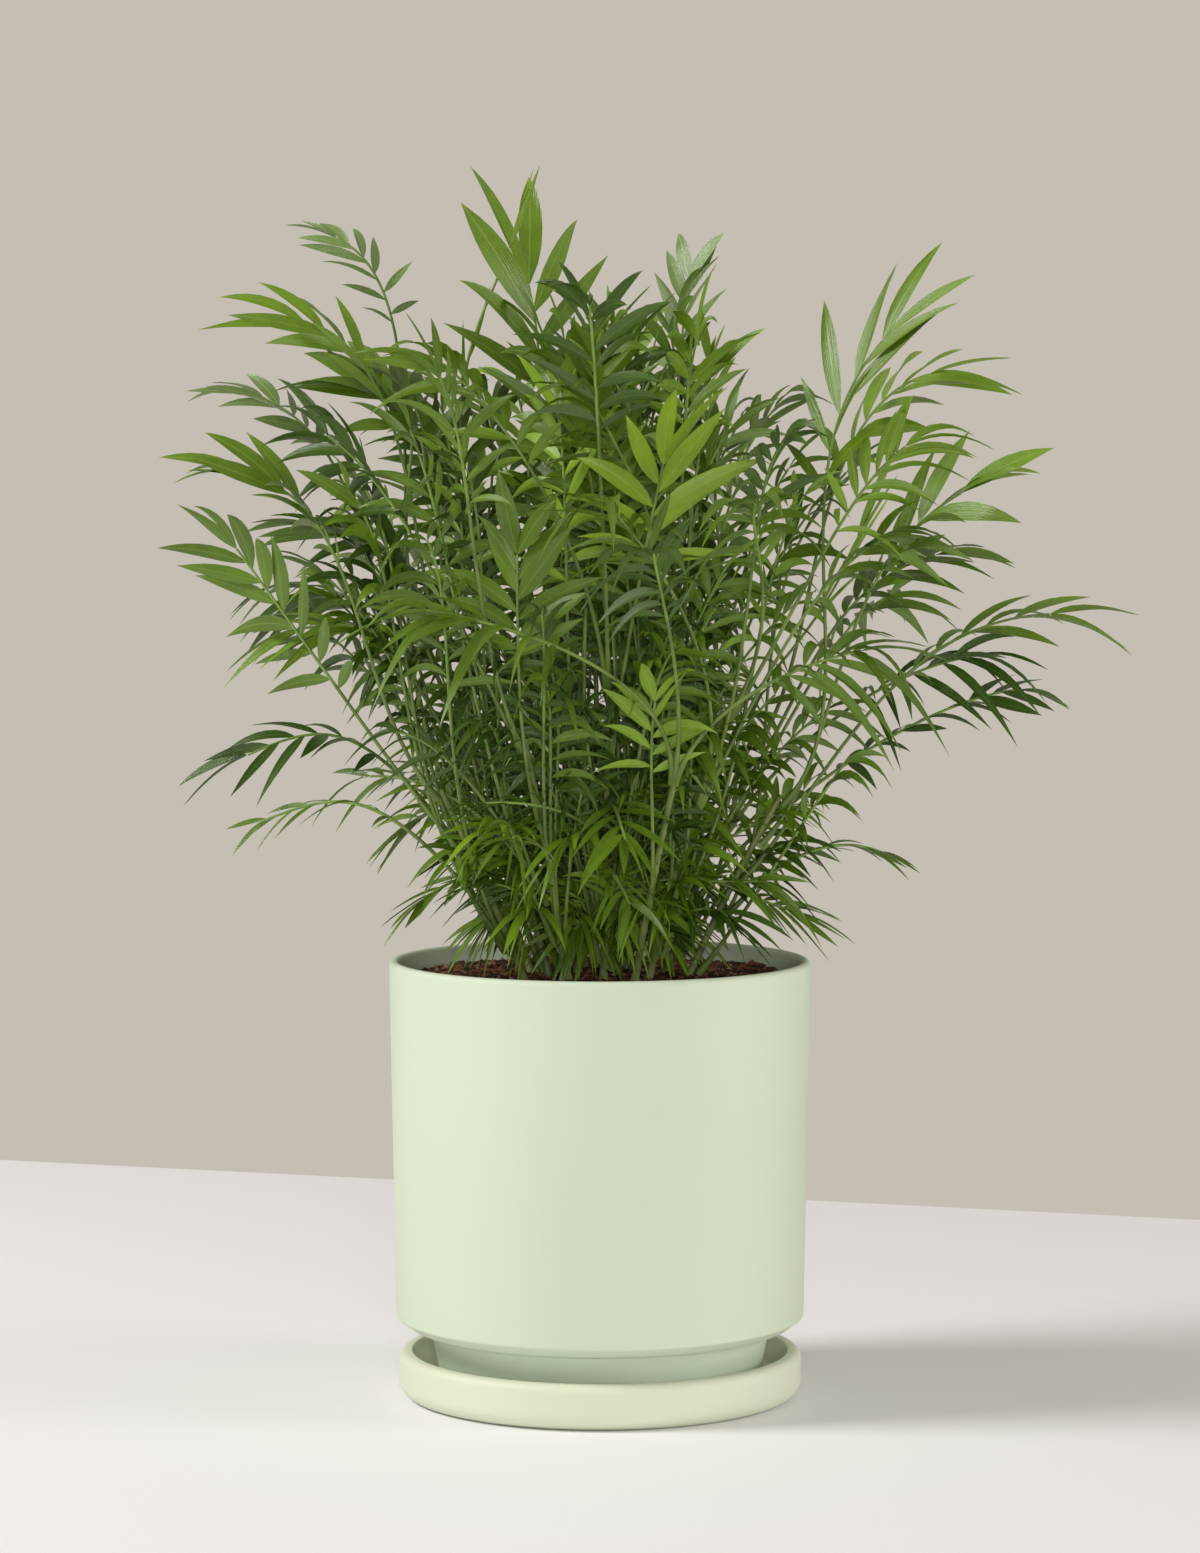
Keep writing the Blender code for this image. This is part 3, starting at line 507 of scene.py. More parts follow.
def stem_group():
    """A stem's skin: long fibres and soft paler places."""
    group, taken, given = skin_group("stem_skin", "Stem", "Paler", "Fibre")
    coords = add(group, "ShaderNodeTexCoord").outputs["Object"]
    values = {"Vector": coords, "Scale": (1.0, 1.0, 0.12)}
    drawn = add(group, "ShaderNodeMapping", values).outputs["Vector"]
    fibres = spots(group, drawn, 1400.0, 3.0)
    patches = spots(group, coords, 38.0, 3.0)
    patched = blend_of(group, between(group, patches, 0.35, 0.65), taken["Stem"], taken["Paler"])
    streaks = between(group, fibres, 0.35, 0.70, 0.0, 0.35)
    colour = blend_of(group, streaks, patched, taken["Paler"])
    height = maths(group, "MULTIPLY", fibres, taken["Fibre"])
    roughness = between(group, patches, 0.3, 0.7, 0.42, 0.56)
    give_skin(group, given, colour, roughness, height, 0.3, 0.0002)
    return group


def earth_group():
    """Peat and bark: mottled from dark to warm, rough and crumbly."""
    group, taken, given = skin_group("peat_and_bark", "Dark", "Warm", "Crumb size")
    coords = add(group, "ShaderNodeTexCoord").outputs["Object"]
    crumbs = spots(group, coords, taken["Crumb size"], 5.0, 0.65)
    beds = maths(group, "MULTIPLY", spots(group, coords, 60.0, 3.0), 0.35)
    both = maths(group, "ADD", maths(group, "MULTIPLY", crumbs, 0.65), beds)
    colour = blend_of(group, between(group, both, 0.42, 0.66), taken["Dark"], taken["Warm"])
    roughness = between(group, crumbs, 0.3, 0.7, 0.80, 0.97)
    give_skin(group, given, colour, roughness, crumbs, 0.8, 0.0012)
    return group


def coloured(obj, name, group, first, second, amount, gloss):
    """Gives the piece a material whose colour, roughness and relief come from the group, with two
    colours and an amount of its own."""
    material = bpy.data.materials.new(name)
    material.use_nodes = True
    tree = material.node_tree
    shader = tree.nodes["Principled BSDF"].inputs
    skin = add(tree, "ShaderNodeGroup", node_tree=group)
    for socket, value in zip(skin.inputs, (rgb(*first), rgb(*second), amount)):
        socket.default_value = value
    for title, output in zip(("Base Color", "Roughness", "Normal"), skin.outputs):
        tree.links.new(output, shader[title])
    shader["Specular IOR Level"].default_value = gloss
    obj.data.materials.append(material)


def rgb(red, green, blue):
    """A colour in linear light from its values on screen, from 0 to 255."""
    values = [c / 255 for c in (red, green, blue)]
    return (*[v / 12.92 if v <= 0.04045 else ((v + 0.055) / 1.055) ** 2.4 for v in values], 1)


# Pot, saucer and soil


def make_saucer():
    wall_inside = SAUCER_RADIUS - SAUCER_WALL
    corner = SAUCER_RADIUS - SAUCER_CORNER
    edge = SAUCER_LIP_INSIDE
    profile = [
        (corner - SUPPORT, 0),
        *arc((corner, SAUCER_CORNER), SAUCER_CORNER, -90, 0, 8)[1:],
        (SAUCER_RADIUS, SAUCER_CORNER + SUPPORT),
        (SAUCER_RADIUS, SAUCER_HEIGHT - SAUCER_LIP - SUPPORT),
        *arc((SAUCER_RADIUS - SAUCER_LIP, SAUCER_HEIGHT - SAUCER_LIP), SAUCER_LIP, 0, 90, 8),
        (wall_inside + edge + SUPPORT / 4, SAUCER_HEIGHT),
        *arc((wall_inside + edge, SAUCER_HEIGHT - edge), edge, 90, 180, 4),
        (wall_inside, SAUCER_HEIGHT - edge - SUPPORT),
        (wall_inside, SAUCER_FLOOR + SAUCER_COVE + SUPPORT),
        *arc((wall_inside - SAUCER_COVE, SAUCER_FLOOR + SAUCER_COVE), SAUCER_COVE, 0, -90, 5),
        (wall_inside - SAUCER_COVE - SUPPORT, SAUCER_FLOOR),
        (POT_FOOT_RADIUS * 0.9, SAUCER_FLOOR),
    ]
    obj = drawn_up("saucer_glazed", TURNED_SIDES, profile)
    smooth(obj, 40)
    return obj


def rounded(points, radius, steps):
    """The profile with its corners rounded to this radius, or less where there's no room."""
    made = [points[0]]
    for before, corner, after in zip(points, points[1:], points[2:]):
        b, c, a = Vector(before), Vector(corner), Vector(after)
        back, ahead = (b - c), (a - c)
        angle = back.angle(ahead)
        reach = min(radius / math.tan(angle / 2), back.length * EDGE_ROOM, ahead.length * EDGE_ROOM)
        start, end = c + back.normalized() * reach, c + ahead.normalized() * reach
        made.append(tuple(start + back.normalized() * min(SUPPORT, back.length * SUPPORT_ROOM)))
        for i in range(steps + 1):
            t = i / steps
            made.append(tuple(start * (1 - t) ** 2 + c * 2 * t * (1 - t) + end * t * t))
        made.append(tuple(end + ahead.normalized() * min(SUPPORT, ahead.length * SUPPORT_ROOM)))
    return [*made, points[-1]]


def make_pot():
    foot = SAUCER_FLOOR + CLEAR
    lip = POT_WALL / 2
    shelf = POT_EDGE_HEIGHT + POT_WALL
    foot_inside = POT_FOOT_RADIUS - POT_WALL
    outside = [
        (POT_FOOT_RADIUS * 0.8, foot),
        (POT_FOOT_RADIUS, foot),
        (POT_FOOT_TOP_RADIUS, POT_FOOT_TOP),
        (POT_EDGE_RADIUS, POT_EDGE_HEIGHT),
        (POT_RADIUS - POT_TAPER, POT_WALL_FOOT),
        (POT_RADIUS, POT_TOP - lip),
    ]
    profile = [
        *rounded(outside, EDGE_ROUND, 4),
        *arc((POT_RADIUS - lip, POT_TOP - lip), lip, 0, 180, 12)[1:],
        (POT_RADIUS - POT_WALL - SUPPORT / 9, POT_TOP - lip - SUPPORT),
        (POT_RADIUS - POT_TAPER - POT_WALL, POT_WALL_FOOT + POT_WALL),
        (POT_EDGE_RADIUS - lip, shelf),
        (foot_inside, shelf - CLEAR),
        (foot_inside, foot + POT_FLOOR),
    ]
    obj = drawn_up("pot_glazed", TURNED_SIDES, profile)
    smooth(obj, 40)
    return obj


def soil_height(x, y):
    """The lumpy top of the soil, lower against the pot."""
    place = Vector((x, y, 0))
    lumps = sum(noise.noise(place * fine) * share for fine, share in SOIL_NOISE)
    edge = POT_RADIUS - POT_WALL
    fall = min(1.0, max(0.0, (place.length / edge - SOIL_LEVEL) / (1 - SOIL_LEVEL)))
    return SOIL_TOP + SOIL_LUMPS * lumps - SOIL_FALL * fall * fall + SOIL_RISE


def make_soil():
    gap = CLEAR * 2
    top_inside = POT_RADIUS - POT_WALL - gap - CLEAR
    low_inside = POT_RADIUS - POT_TAPER - POT_WALL - gap
    foot_inside = POT_FOOT_RADIUS - POT_WALL - gap
    shelf = POT_EDGE_HEIGHT + POT_WALL + gap
    foot = SAUCER_FLOOR + POT_FLOOR + gap
    profile = [
        (foot_inside - SOIL_CORNER, foot),
        (foot_inside, foot + SOIL_CORNER),
        (foot_inside, shelf),
        (POT_EDGE_RADIUS - POT_WALL / 2 - gap, shelf),
        (low_inside, POT_WALL_FOOT + POT_WALL + gap),
        (top_inside, SOIL_TOP - SOIL_BRIM),
    ]
    profile += [(top_inside * (1 - i / SOIL_RINGS), SOIL_TOP) for i in range(SOIL_RINGS)]
    obj = drawn_up("soil_bed", TURNED_SIDES, profile)
    for vert in obj.data.vertices:
        if vert.co.z > SOIL_TOP - SOIL_BRIM / 2:
            vert.co.z = soil_height(vert.co.x, vert.co.y)
    smooth(obj, 75)
    return obj


def make_bark(kind):
    """Crumbs and flakes of bark, each one small faceted lump pressed into the soil."""
    only()
    bpy.ops.mesh.primitive_ico_sphere_add(subdivisions=1, radius=1)
    lump = bpy.context.object
    shape = np.array([v.co for v in lump.data.vertices])
    faces = np.array([p.vertices[:] for p in lump.data.polygons])
    bpy.data.objects.remove(lump)
    chance = np.random.default_rng(kind.seed)
    points, all_faces = [], []
    limit = POT_RADIUS - POT_WALL - kind.sizes[1] * BARK_MARGIN
    for i in range(kind.count):
        away, turn = limit * math.sqrt(chance.random()), chance.random() * math.tau
        x, y = away * math.cos(turn), away * math.sin(turn)
        size = mix(*kind.sizes, chance.random() ** 2)
        scale = size * np.array([1, chance.uniform(*BARK_WIDTHS), chance.uniform(*BARK_DEPTHS)])
        rough = shape * scale * chance.uniform(*BARK_ROUGH, (len(shape), 1))
        tilt = Quaternion(Vector(chance.normal(size=3)).normalized(), chance.normal() * BARK_TILT)
        spin = tilt @ Quaternion(UP, chance.random() * math.tau)
        place = x, y, soil_height(x, y) + size * BARK_LIFT
        points.append(rough @ np.array(spin.to_matrix()).T + place)
        all_faces.append(faces + len(shape) * i)
    return joined_mesh(kind.name, np.array(points), np.concatenate(all_faces).tolist(), sharp=25)


# Where the canes and the fronds' ribs run


def cane_of(number):
    """The canes stand by the golden turn, and those further out are shorter and lean more."""
    share = (number + 0.5) / CANES
    out = outward(number * GOLDEN_TURN)
    lean = CANE_LEAN * math.sqrt(share)
    return Cane(
        out * CLUMP_RADIUS * math.sqrt(share) + UP * (SOIL_TOP + CLEAR),
        UP * math.cos(lean) + out * math.sin(lean),
        out,
        mix(*CANE_LENGTHS, share),
    )


def cane_point(cane, share):
    return cane.foot + cane.lean * cane.length * share + cane.out * CANE_BOW * share * share


def cane_way(cane, share):
    return (cane.lean * cane.length + cane.out * 2 * CANE_BOW * share).normalized()


def cane_radius(share):
    return mix(CANE_FOOT_RADIUS, CANE_TIP_RADIUS, share)


def sprays():
    """Every frond of the solid model with its green, in lists that are each one of its nodes."""
    made = [[one] for one in OUTLINE]
    turns = 0
    for tier in TIERS:
        for i in range(tier.count):
            share = i / (tier.count - 1)
            part_way = (turns * GOLDEN_TURN / math.tau) % 1
            side = -1 if turns % 2 else 1
            middle = side * mix(TIER_START, math.pi - TIER_START, part_way)
            turns += 1
            group = []
            for j in range(tier.together):
                fan = GROUP_FAN * (j - (tier.together - 1) / 2)
                frond = Frond(
                    math.degrees(middle + fan),
                    mix(*tier.reach, share),
                    mix(*tier.height, share) + GROUP_LIFTS[j],
                    tier.climb,
                    FILL_ROLL * (-1) ** (i + j),
                    tier.pairs,
                    tier.leaf,
                )
                group.append((frond, tier.greens[(i + j) % len(tier.greens)]))
            made.append(group)
    return made


def tip_of(frond):
    return outward(math.radians(frond.azimuth)) * frond.reach + UP * frond.height


def facing_tip(group):
    """The tip of a group's middle frond."""
    return tip_of(group[len(group) // 2])


def seats(groups):
    """For each group of fronds, its cane, the share of the cane's length where it grows, and the
    tip that its foot faces."""
    canes = [cane_of(i) for i in range(CANES)]
    borne = [[] for _ in canes]
    heights = [sum(f.height for f in group) / len(group) for group in groups]
    for number in sorted(range(len(groups)), key=heights.__getitem__):
        tip = facing_tip(groups[number])
        want = Vector((tip.x, tip.y)) * CLUMP_RADIUS / CROWN_RADIUS
        costs = [(c.foot.xy - want).length + CROWDING * len(b) for c, b in zip(canes, borne)]
        borne[costs.index(min(costs))].append(number)
    found = {}
    for one, numbers in zip(canes, borne):
        for i, number in enumerate(numbers):
            share = i / (len(numbers) - 1) if len(numbers) > 1 else 1
            found[number] = one, mix(FIRST_SEAT, LAST_SEAT, share), facing_tip(groups[number])
    return found


def rib_line(frond, seat, foot_radius, swing):
    """The points of a rib from its seat to the frond's tip, and the level way across it."""
    one, share, facing = seat
    tip = tip_of(frond._replace(azimuth=frond.azimuth + math.degrees(SWING_TURN * swing)))
    place, way = cane_point(one, share), cane_way(one, share)
    ahead = facing.lerp(tip, FOOT_FAN) - place
    out = Vector((ahead.x, ahead.y, 0)).normalized()
    away = (out - way * out.dot(way)).normalized()
    start = place + away * (cane_radius(share) + foot_radius + CLEAR)
    chord = tip - start
    out = Vector((tip.x, tip.y, 0)).normalized()
    side = out.cross(UP)
    climb = math.radians(frond.climb)
    first = way * math.cos(SEAT_ANGLE) + away * math.sin(SEAT_ANGLE)
    last = out * math.cos(climb) + UP * math.sin(climb)
    bow = side * SWING_BOW * swing
    pulls = first * frond.rise * chord.length, last * frond.run * chord.length
    corners = start, start + pulls[0] + bow, tip - pulls[1] + bow, tip
    line = []
    for i in range(LINE_STEPS + 1):
        t = i / LINE_STEPS
        weights = (1 - t) ** 3, 3 * t * (1 - t) ** 2, 3 * t * t * (1 - t), t**3
        line.append(sum((c * w for c, w in zip(corners, weights)), Vector()))
    return line, side


def rib_place(rib, share):
    """The point, the way along, the upper side and the right side at a share of the rib."""
    where = share * LINE_STEPS
    i = min(int(where), LINE_STEPS - 1)
    place = rib.line[i].lerp(rib.line[i + 1], where - i)
    before, after = rib.line[max(i - 1, 0)], rib.line[min(i + 2, LINE_STEPS)]
    along = (after - before).normalized()
    over = rib.side.cross(along).normalized()
    rolled = Quaternion(along, math.radians(rib.frond.roll) * share) @ over
    return place, along, rolled, along.cross(rolled)


def rib_radius(share):
    return mix(STALK_RADIUS, RIB_TIP_RADIUS, share)


def slender(share):
    """A real stalk is finer than the solid one."""
    return rib_radius(share) * SLENDER


def stations(rib):
    """The shares of a rib that the solid one is drawn through: its stalk, and the foot of each pair."""
    frond = rib.frond
    length = sum((b - a).length for a, b in pairwise(rib.line))
    foot = PAIR_FOOT / length
    shares = [frond.start * i / STALK_STEPS for i in range(STALK_STEPS)]
    for i in range(frond.pairs):
        at = mix(frond.start, RIB_END, i / (frond.pairs - 1))
        shares += [at - foot / 2, at + foot / 2]
    return shares


def knots(rib):
    return np.array([rib_place(rib, share)[0] for share in stations(rib)])


def gap_between(points, line):
    """The smallest distance from the stretches through the points to those of the line."""
    steps = [mix(points[:-1], points[1:], s) for s in (0.0, 0.25, 0.5, 0.75)]
    dense = np.concatenate([*steps, points[-1:]])
    starts, runs = line[:-1], line[1:] - line[:-1]
    from_start = dense[:, None] - starts
    along = np.clip((from_start * runs).sum(2) / (runs * runs).sum(1), 0, 1)
    return np.linalg.norm(from_start - along[..., None] * runs, axis=2).min()


def grown_ribs(groups):
    """The ribs of each group, every one swung aside until it is clear of all before it."""
    found = seats(groups)
    taken = []
    for i in range(CANES):
        one = cane_of(i)
        line = np.array([cane_point(one, s / CANE_STEPS) for s in range(CANE_STEPS + 1)])
        taken.append((line, CANE_FOOT_RADIUS))
    made, number = [], 0
    for group_number, group in enumerate(groups):
        foot_radius = SHEATH_RADIUS if len(group) > 1 else STALK_RADIUS
        seat = found[group_number]
        others = [t for t in taken if tuple(t[0][0]) != tuple(seat[0].foot)]
        ribs = []
        for frond in group:
            best = -1
            for attempt in range(SWING_TRIES):
                swing = (attempt + 1) // 2 * (-1) ** attempt
                rib = Rib(frond, *rib_line(frond, seat, foot_radius, swing), number)
                points = knots(rib)
                gap = min(gap_between(points, line) - radius for line, radius in others)
                if gap > best:
                    best, chosen = gap, rib
                if gap > STALK_RADIUS + RIB_MARGIN:
                    break
            ribs.append(chosen)
            number += 1
        taken += [(knots(rib), foot_radius) for rib in ribs]
        made.append(ribs)
    return made


def inner_frond(chance, number):
    """A young frond inside the crown, and its green. They are numbered from the lowest."""
    share = (number + 0.5) / INNER_FRONDS
    height = mix(DENSE_HEIGHTS[0], DENSE_HEIGHTS[-1], share**INNER_LOWER)
    azimuth = math.degrees(number * GOLDEN_TURN) + chance.uniform(*INNER_TURNS)
    limit = float(np.interp(height, DENSE_HEIGHTS, DENSE_REACHES))
    limit *= 1 - DENSE_SHIFT * math.cos(math.radians(azimuth))
    reach = limit * chance.uniform(*INNER_REACHES) ** INNER_OUTER
    climb = mix(*INNER_CLIMBS, share) + chance.uniform(*INNER_CLIMB_JITTER)
    leaf = mix(*INNER_LEAVES, share) * chance.uniform(*INNER_LEAF_JITTER)
    roll = chance.uniform(-1, 1) * INNER_ROLL
    frond = Frond(azimuth, reach, height, climb, roll, INNER_PAIRS, leaf, INNER_START)
    if (tip_of(frond) - tip_of(YOUNGEST)).length < YOUNGEST_ROOM:
        frond = frond._replace(reach=reach * YOUNGEST_DRAW)
    # Those in the middle of the crown take the darker greens, painted shade; the lowest and the highest
    # take the lighter mix.
    greens = SHADE_PAINTED_GREENS if SHADED[0] < share < SHADED[1] else EDGE_GREENS
    return frond, greens[chance.randrange(len(greens))]


def inner_ribs(first_number):
    """The fronds between the solid model's, whose stalks rise from the lower part of the canes."""
    chance = random.Random(SEED)
    fronds = [*BETWEEN, *(inner_frond(chance, number) for number in range(INNER_FRONDS))]
    made = []
    for i, (frond, green) in enumerate(fronds):
        tip = tip_of(frond)
        want = Vector((tip.x, tip.y)) * CLUMP_RADIUS / CROWN_RADIUS
        near = sorted((cane_of(n) for n in range(CANES)), key=lambda c: (c.foot.xy - want).length)
        seat = near[chance.randrange(NEAR_CANES)], chance.uniform(*INNER_SEATS), tip
        rib = Rib(frond, *rib_line(frond, seat, STALK_RADIUS, 0), first_number + i)
        made.append((rib, green))
    return made


# Canes, stalks and leaflets


def make_canes():
    """One ringed cane modelled upright, and a copy of it bent to each cane's line."""
    profile = list(CANE_FOOT_OUTLINE)
    for i in range(1, CANE_SCARS):
        profile += [(radius, i / CANE_SCARS + height) for radius, height in CANE_SCAR_OUTLINE]
    master = drawn_up("cane_master", CANE_SIDES, [*profile, *CANE_END_OUTLINE])
    shape = np.array([v.co for v in master.data.vertices])
    faces = [list(p.vertices) for p in master.data.polygons]
    bpy.data.objects.remove(master)
    points, all_faces = [], []
    for number in range(CANES):
        one = cane_of(number)
        side = one.out.cross(UP)
        copy = []
        for x, y, z in shape:
            share = min(max(float(z), 0.0), 1.0)
            way = cane_way(one, share)
            over = way.cross(side).normalized()
            radius = cane_radius(share)
            past_end = way * (float(z) - share) * one.length
            copy.append(cane_point(one, share) + past_end + (over * x + side * y) * radius * SLENDER)
        points.append(copy)
        all_faces += [[v + len(shape) * number for v in face] for face in faces]
    return joined_mesh("canes_ringed", np.array(points), all_faces, sharp=60)


def rings_of(rib, shares, radii, sides):
    """Rings of points round the rib."""
    turns = np.linspace(0, math.tau, sides, endpoint=False)[:, None]
    rings = []
    for share, radius in zip(shares, radii):
        place, _, over, right = (np.array(v) for v in rib_place(rib, share))
        rings.append(place + radius * (np.cos(turns) * over + np.sin(turns) * right))
    return np.array(rings)


def tubes(name, ribs, ends, radius_at):
    """All the tubes of one kind as one mesh. ends gives the shares of a rib where its tube runs."""
    points, faces, base = [], [], 0
    for rib in ribs:
        low, high = ends(rib)
        shares = [mix(low, high, i / (RIB_RINGS - 1)) for i in range(RIB_RINGS)]
        rings = rings_of(rib, shares, [radius_at(rib, s) for s in shares], RIB_SIDES)
        points.append(rings.reshape(-1, 3))
        for r in range(RIB_RINGS - 1):
            for s in range(RIB_SIDES):
                a, b = base + r * RIB_SIDES + s, base + r * RIB_SIDES + (s + 1) % RIB_SIDES
                faces.append((a, b, b + RIB_SIDES, a + RIB_SIDES))
        last = base + (RIB_RINGS - 1) * RIB_SIDES
        faces.append(tuple(base + s for s in reversed(range(RIB_SIDES))))
        faces.append(tuple(last + s for s in range(RIB_SIDES)))
        base += RIB_RINGS * RIB_SIDES
    return joined_mesh(name, np.concatenate(points), faces, sharp=70)


def stalk_radius(rib, share):
    """A stalk widens to the sheath that clasps its cane."""
    length = sum((b - a).length for a, b in pairwise(rib.line))
    sheath = max(0.0, 1 - share * length / SHEATH_LENGTH)
    return slender(share) + (SHEATH_RADIUS - STALK_RADIUS) * sheath**SHEATH_FLARE


def leaf_master():
    """One leaflet modelled flat, a unit long and two units wide: its points, faces and their places
    across and along it. It is folded a little along its midrib and closed underneath."""
    only()
    bpy.ops.mesh.primitive_grid_add(x_subdivisions=2, y_subdivisions=len(LEAF_ROWS) - 1, size=2)
    obj = bpy.context.object
    rows = len(LEAF_ROWS) - 1
    for vert in obj.data.vertices:
        along, width = LEAF_ROWS[round((vert.co.y + 1) / 2 * rows)]
        vert.co = vert.co.x * width, along, LEAF_FOLD * abs(vert.co.x) * width
    bpy.ops.object.mode_set(mode="EDIT")
    bpy.ops.mesh.select_all(action="SELECT")
    bpy.ops.mesh.duplicate()
    bpy.ops.mesh.flip_normals()
    only()
    half = len(obj.data.vertices) // 2
    for vert in list(obj.data.vertices)[half:]:
        if abs(vert.co.x) < 1e-4 and 0.01 < vert.co.y < 0.99:
            vert.co.z -= LEAF_THICKNESS
    only(obj)
    bpy.ops.object.mode_set(mode="EDIT")
    bpy.ops.mesh.select_all(action="SELECT")
    bpy.ops.mesh.remove_doubles(threshold=1e-5)
    only()
    mesh = obj.data
    points = np.array([v.co for v in mesh.vertices])
    faces = [list(p.vertices) for p in mesh.polygons]
    bpy.data.objects.remove(obj)
    return points, faces


def leaves(name, blades, master):
    """Every leaflet of one green as one mesh: the master laid along each blade's own line."""
    shape, faces = master
    root, way, front, face, sink = (
        np.array([getattr(b, key) for b in blades]) for key in ("root", "way", "front", "face", "sink")
    )
    length, width, curl, twist, tint = (
        np.array([getattr(b, key) for b in blades])[:, None, None]
        for key in ("length", "width", "curl", "twist", "tint")
    )
    across_at, along = shape[None, :, 0, None], shape[None, :, 1, None]
    root, way, front, face, sink = (v[:, None, :] for v in (root, way, front, face, sink))
    bent = sink + front * curl * length
    centre = root + way * length * along + bent * along**2
    run = way * length + 2 * bent * along
    run /= np.linalg.norm(run, axis=2, keepdims=True)
    hand = np.sign((np.cross(front, way) * face).sum(2, keepdims=True))
    across = front * hand
    across = across - run * (across * run).sum(2, keepdims=True)
    across /= np.linalg.norm(across, axis=2, keepdims=True)
    over = np.cross(across, run)
    turn = twist * along
    turned_across = across * np.cos(turn) + over * np.sin(turn)
    turned_over = over * np.cos(turn) - across * np.sin(turn)
    over_at = shape[None, :, 2, None]
    points = centre + turned_across * across_at * width / 2 + turned_over * over_at * length
    count, size = len(blades), len(shape)
    all_faces = [[v + size * i for v in f] for i in range(count) for f in faces]
    corner_places = np.array([shape[v] for f in faces for v in f])
    uvs = np.stack([corner_places[:, 0] / 2 + 0.5, corner_places[:, 1]], axis=1)
    tints = np.repeat(tint.ravel(), size)
    return joined_mesh(name, points, all_faces, np.tile(uvs, (count, 1)), tints, sharp=60)


def blades_of(rib, kind):
    """The leaflets of a frond, in pairs that don't quite face each other."""
    frond = rib.frond
    chance = random.Random(SEED * 1000 + rib.number)
    pairs = frond.pairs if frond.open < SHUT else round(frond.pairs * kind.pairs)
    broad = kind.width * chance.uniform(*FROND_WIDTHS) * mix(SHUT_WIDTH, 1, frond.open)
    hang = float(np.interp(frond.height, *HANG))
    tone = random.Random(rib.number).uniform(*TINTS)
    made = []
    for pair in range(pairs):
        share = pair / (pairs - 1)
        stagger = 0 if pair == pairs - 1 else PAIR_STAGGER / pairs
        for hand in (1, -1):
            at = min(mix(frond.start, RIB_END, share + hand * stagger), RIB_END)
            place, along, over, right = rib_place(rib, at)
            width = broad * chance.uniform(*LEAF_WIDTHS)
            turn = (mix(*LEAF_SPREAD, share) + chance.uniform(-1, 1) * LEAF_JITTER) * frond.open
            raised = math.radians(kind.lift) * chance.uniform(*LEAF_LIFTS) * frond.open
            flat = along * math.cos(turn) + right * hand * math.sin(turn)
            way = flat * math.cos(raised) + over * math.sin(raised)
            full = float(np.interp(share, (0, 0.5, 1), LEAF_SHARES))
            length = frond.leaf * kind.length * full * chance.uniform(*LEAF_LENGTHS)
            front = (along - way * along.dot(way)).normalized()
            droop = kind.droop * hang * length * frond.open
            made.append(
                Blade(
                    place + way * rib_radius(at) * LEAF_FOOT,
                    way,
                    front,
                    over,
                    length,
                    length * width,
                    UP * -droop * chance.uniform(*LEAF_HANGS),
                    LEAF_CURL * chance.uniform(*LEAF_CURLS) * frond.open,
                    LEAF_TWIST * chance.uniform(-1, 1) * frond.open,
                    tone + chance.uniform(*TINTS),
                )
            )
    return made


def node_names(groups):
    """The solid model's name for each group. Fronds on their own are counted apart from groups."""
    counts = {"frond": 0, "frond_group": 0}
    names = []
    for group in groups:
        kind = "frond" if len(group) == 1 else "frond_group"
        counts[kind] += 1
        names.append(f"{kind}_{counts[kind]:02d}")
    return names


def make_leaflets(by_green, stands_for):
    skin = leaf_group()
    master = leaf_master()
    for green, blades in by_green.items():
        obj = leaves(f"leaflets_{green}", blades, master)
        coloured(obj, f"leaf_{green}", skin, *GREENS[green], 1.0, 0.45)
        finished(obj, "foliage", *stands_for[green])


def make_stems(ribs, names):
    """The stalks, the midribs that carry the leaflets, and the canes."""
    stem = stem_group()
    stalks = tubes("stalks", ribs, lambda rib: (0.0, rib.frond.start), stalk_radius)
    coloured(stalks, "stalk_skin", stem, (76, 98, 38), (114, 136, 62), 1.0, 0.45)
    finished(stalks, "foliage", *names)
    midribs = tubes("midribs", ribs, lambda rib: (rib.frond.start, RIB_END), lambda rib, s: slender(s))
    coloured(midribs, "midrib_skin", stem, (88, 120, 42), (126, 154, 70), 0.8, 0.45)
    finished(midribs, "foliage", *names)
    canes = make_canes()
    coloured(canes, "cane_skin", stem, (72, 92, 42), (126, 138, 76), 1.0, 0.4)
    finished(canes, "cane", *(f"cane_{i + 1:02d}" for i in range(CANES)))


def make_plant():
    groups = sprays()
    names = node_names(groups)
    outer = grown_ribs([[frond for frond, _ in group] for group in groups])
    by_green = {green: [] for green in GREENS}
    stands_for = {green: [] for green in GREENS}
    ribs = []
    for name, group, group_ribs in zip(names, groups, outer):
        for (frond, green), rib in zip(group, group_ribs):
            kind = OUTER if len(group) == 1 else LOW if frond.height < LOW_HEIGHT else FILLING
            by_green[green] += blades_of(rib, kind)
            ribs.append(rib)
            if name not in stands_for[green]:
                stands_for[green].append(name)
    for rib, green in inner_ribs(len(ribs)):
        by_green[green] += blades_of(rib, INNER)
        ribs.append(rib)
    make_leaflets(by_green, stands_for)
    make_stems(ribs, names)


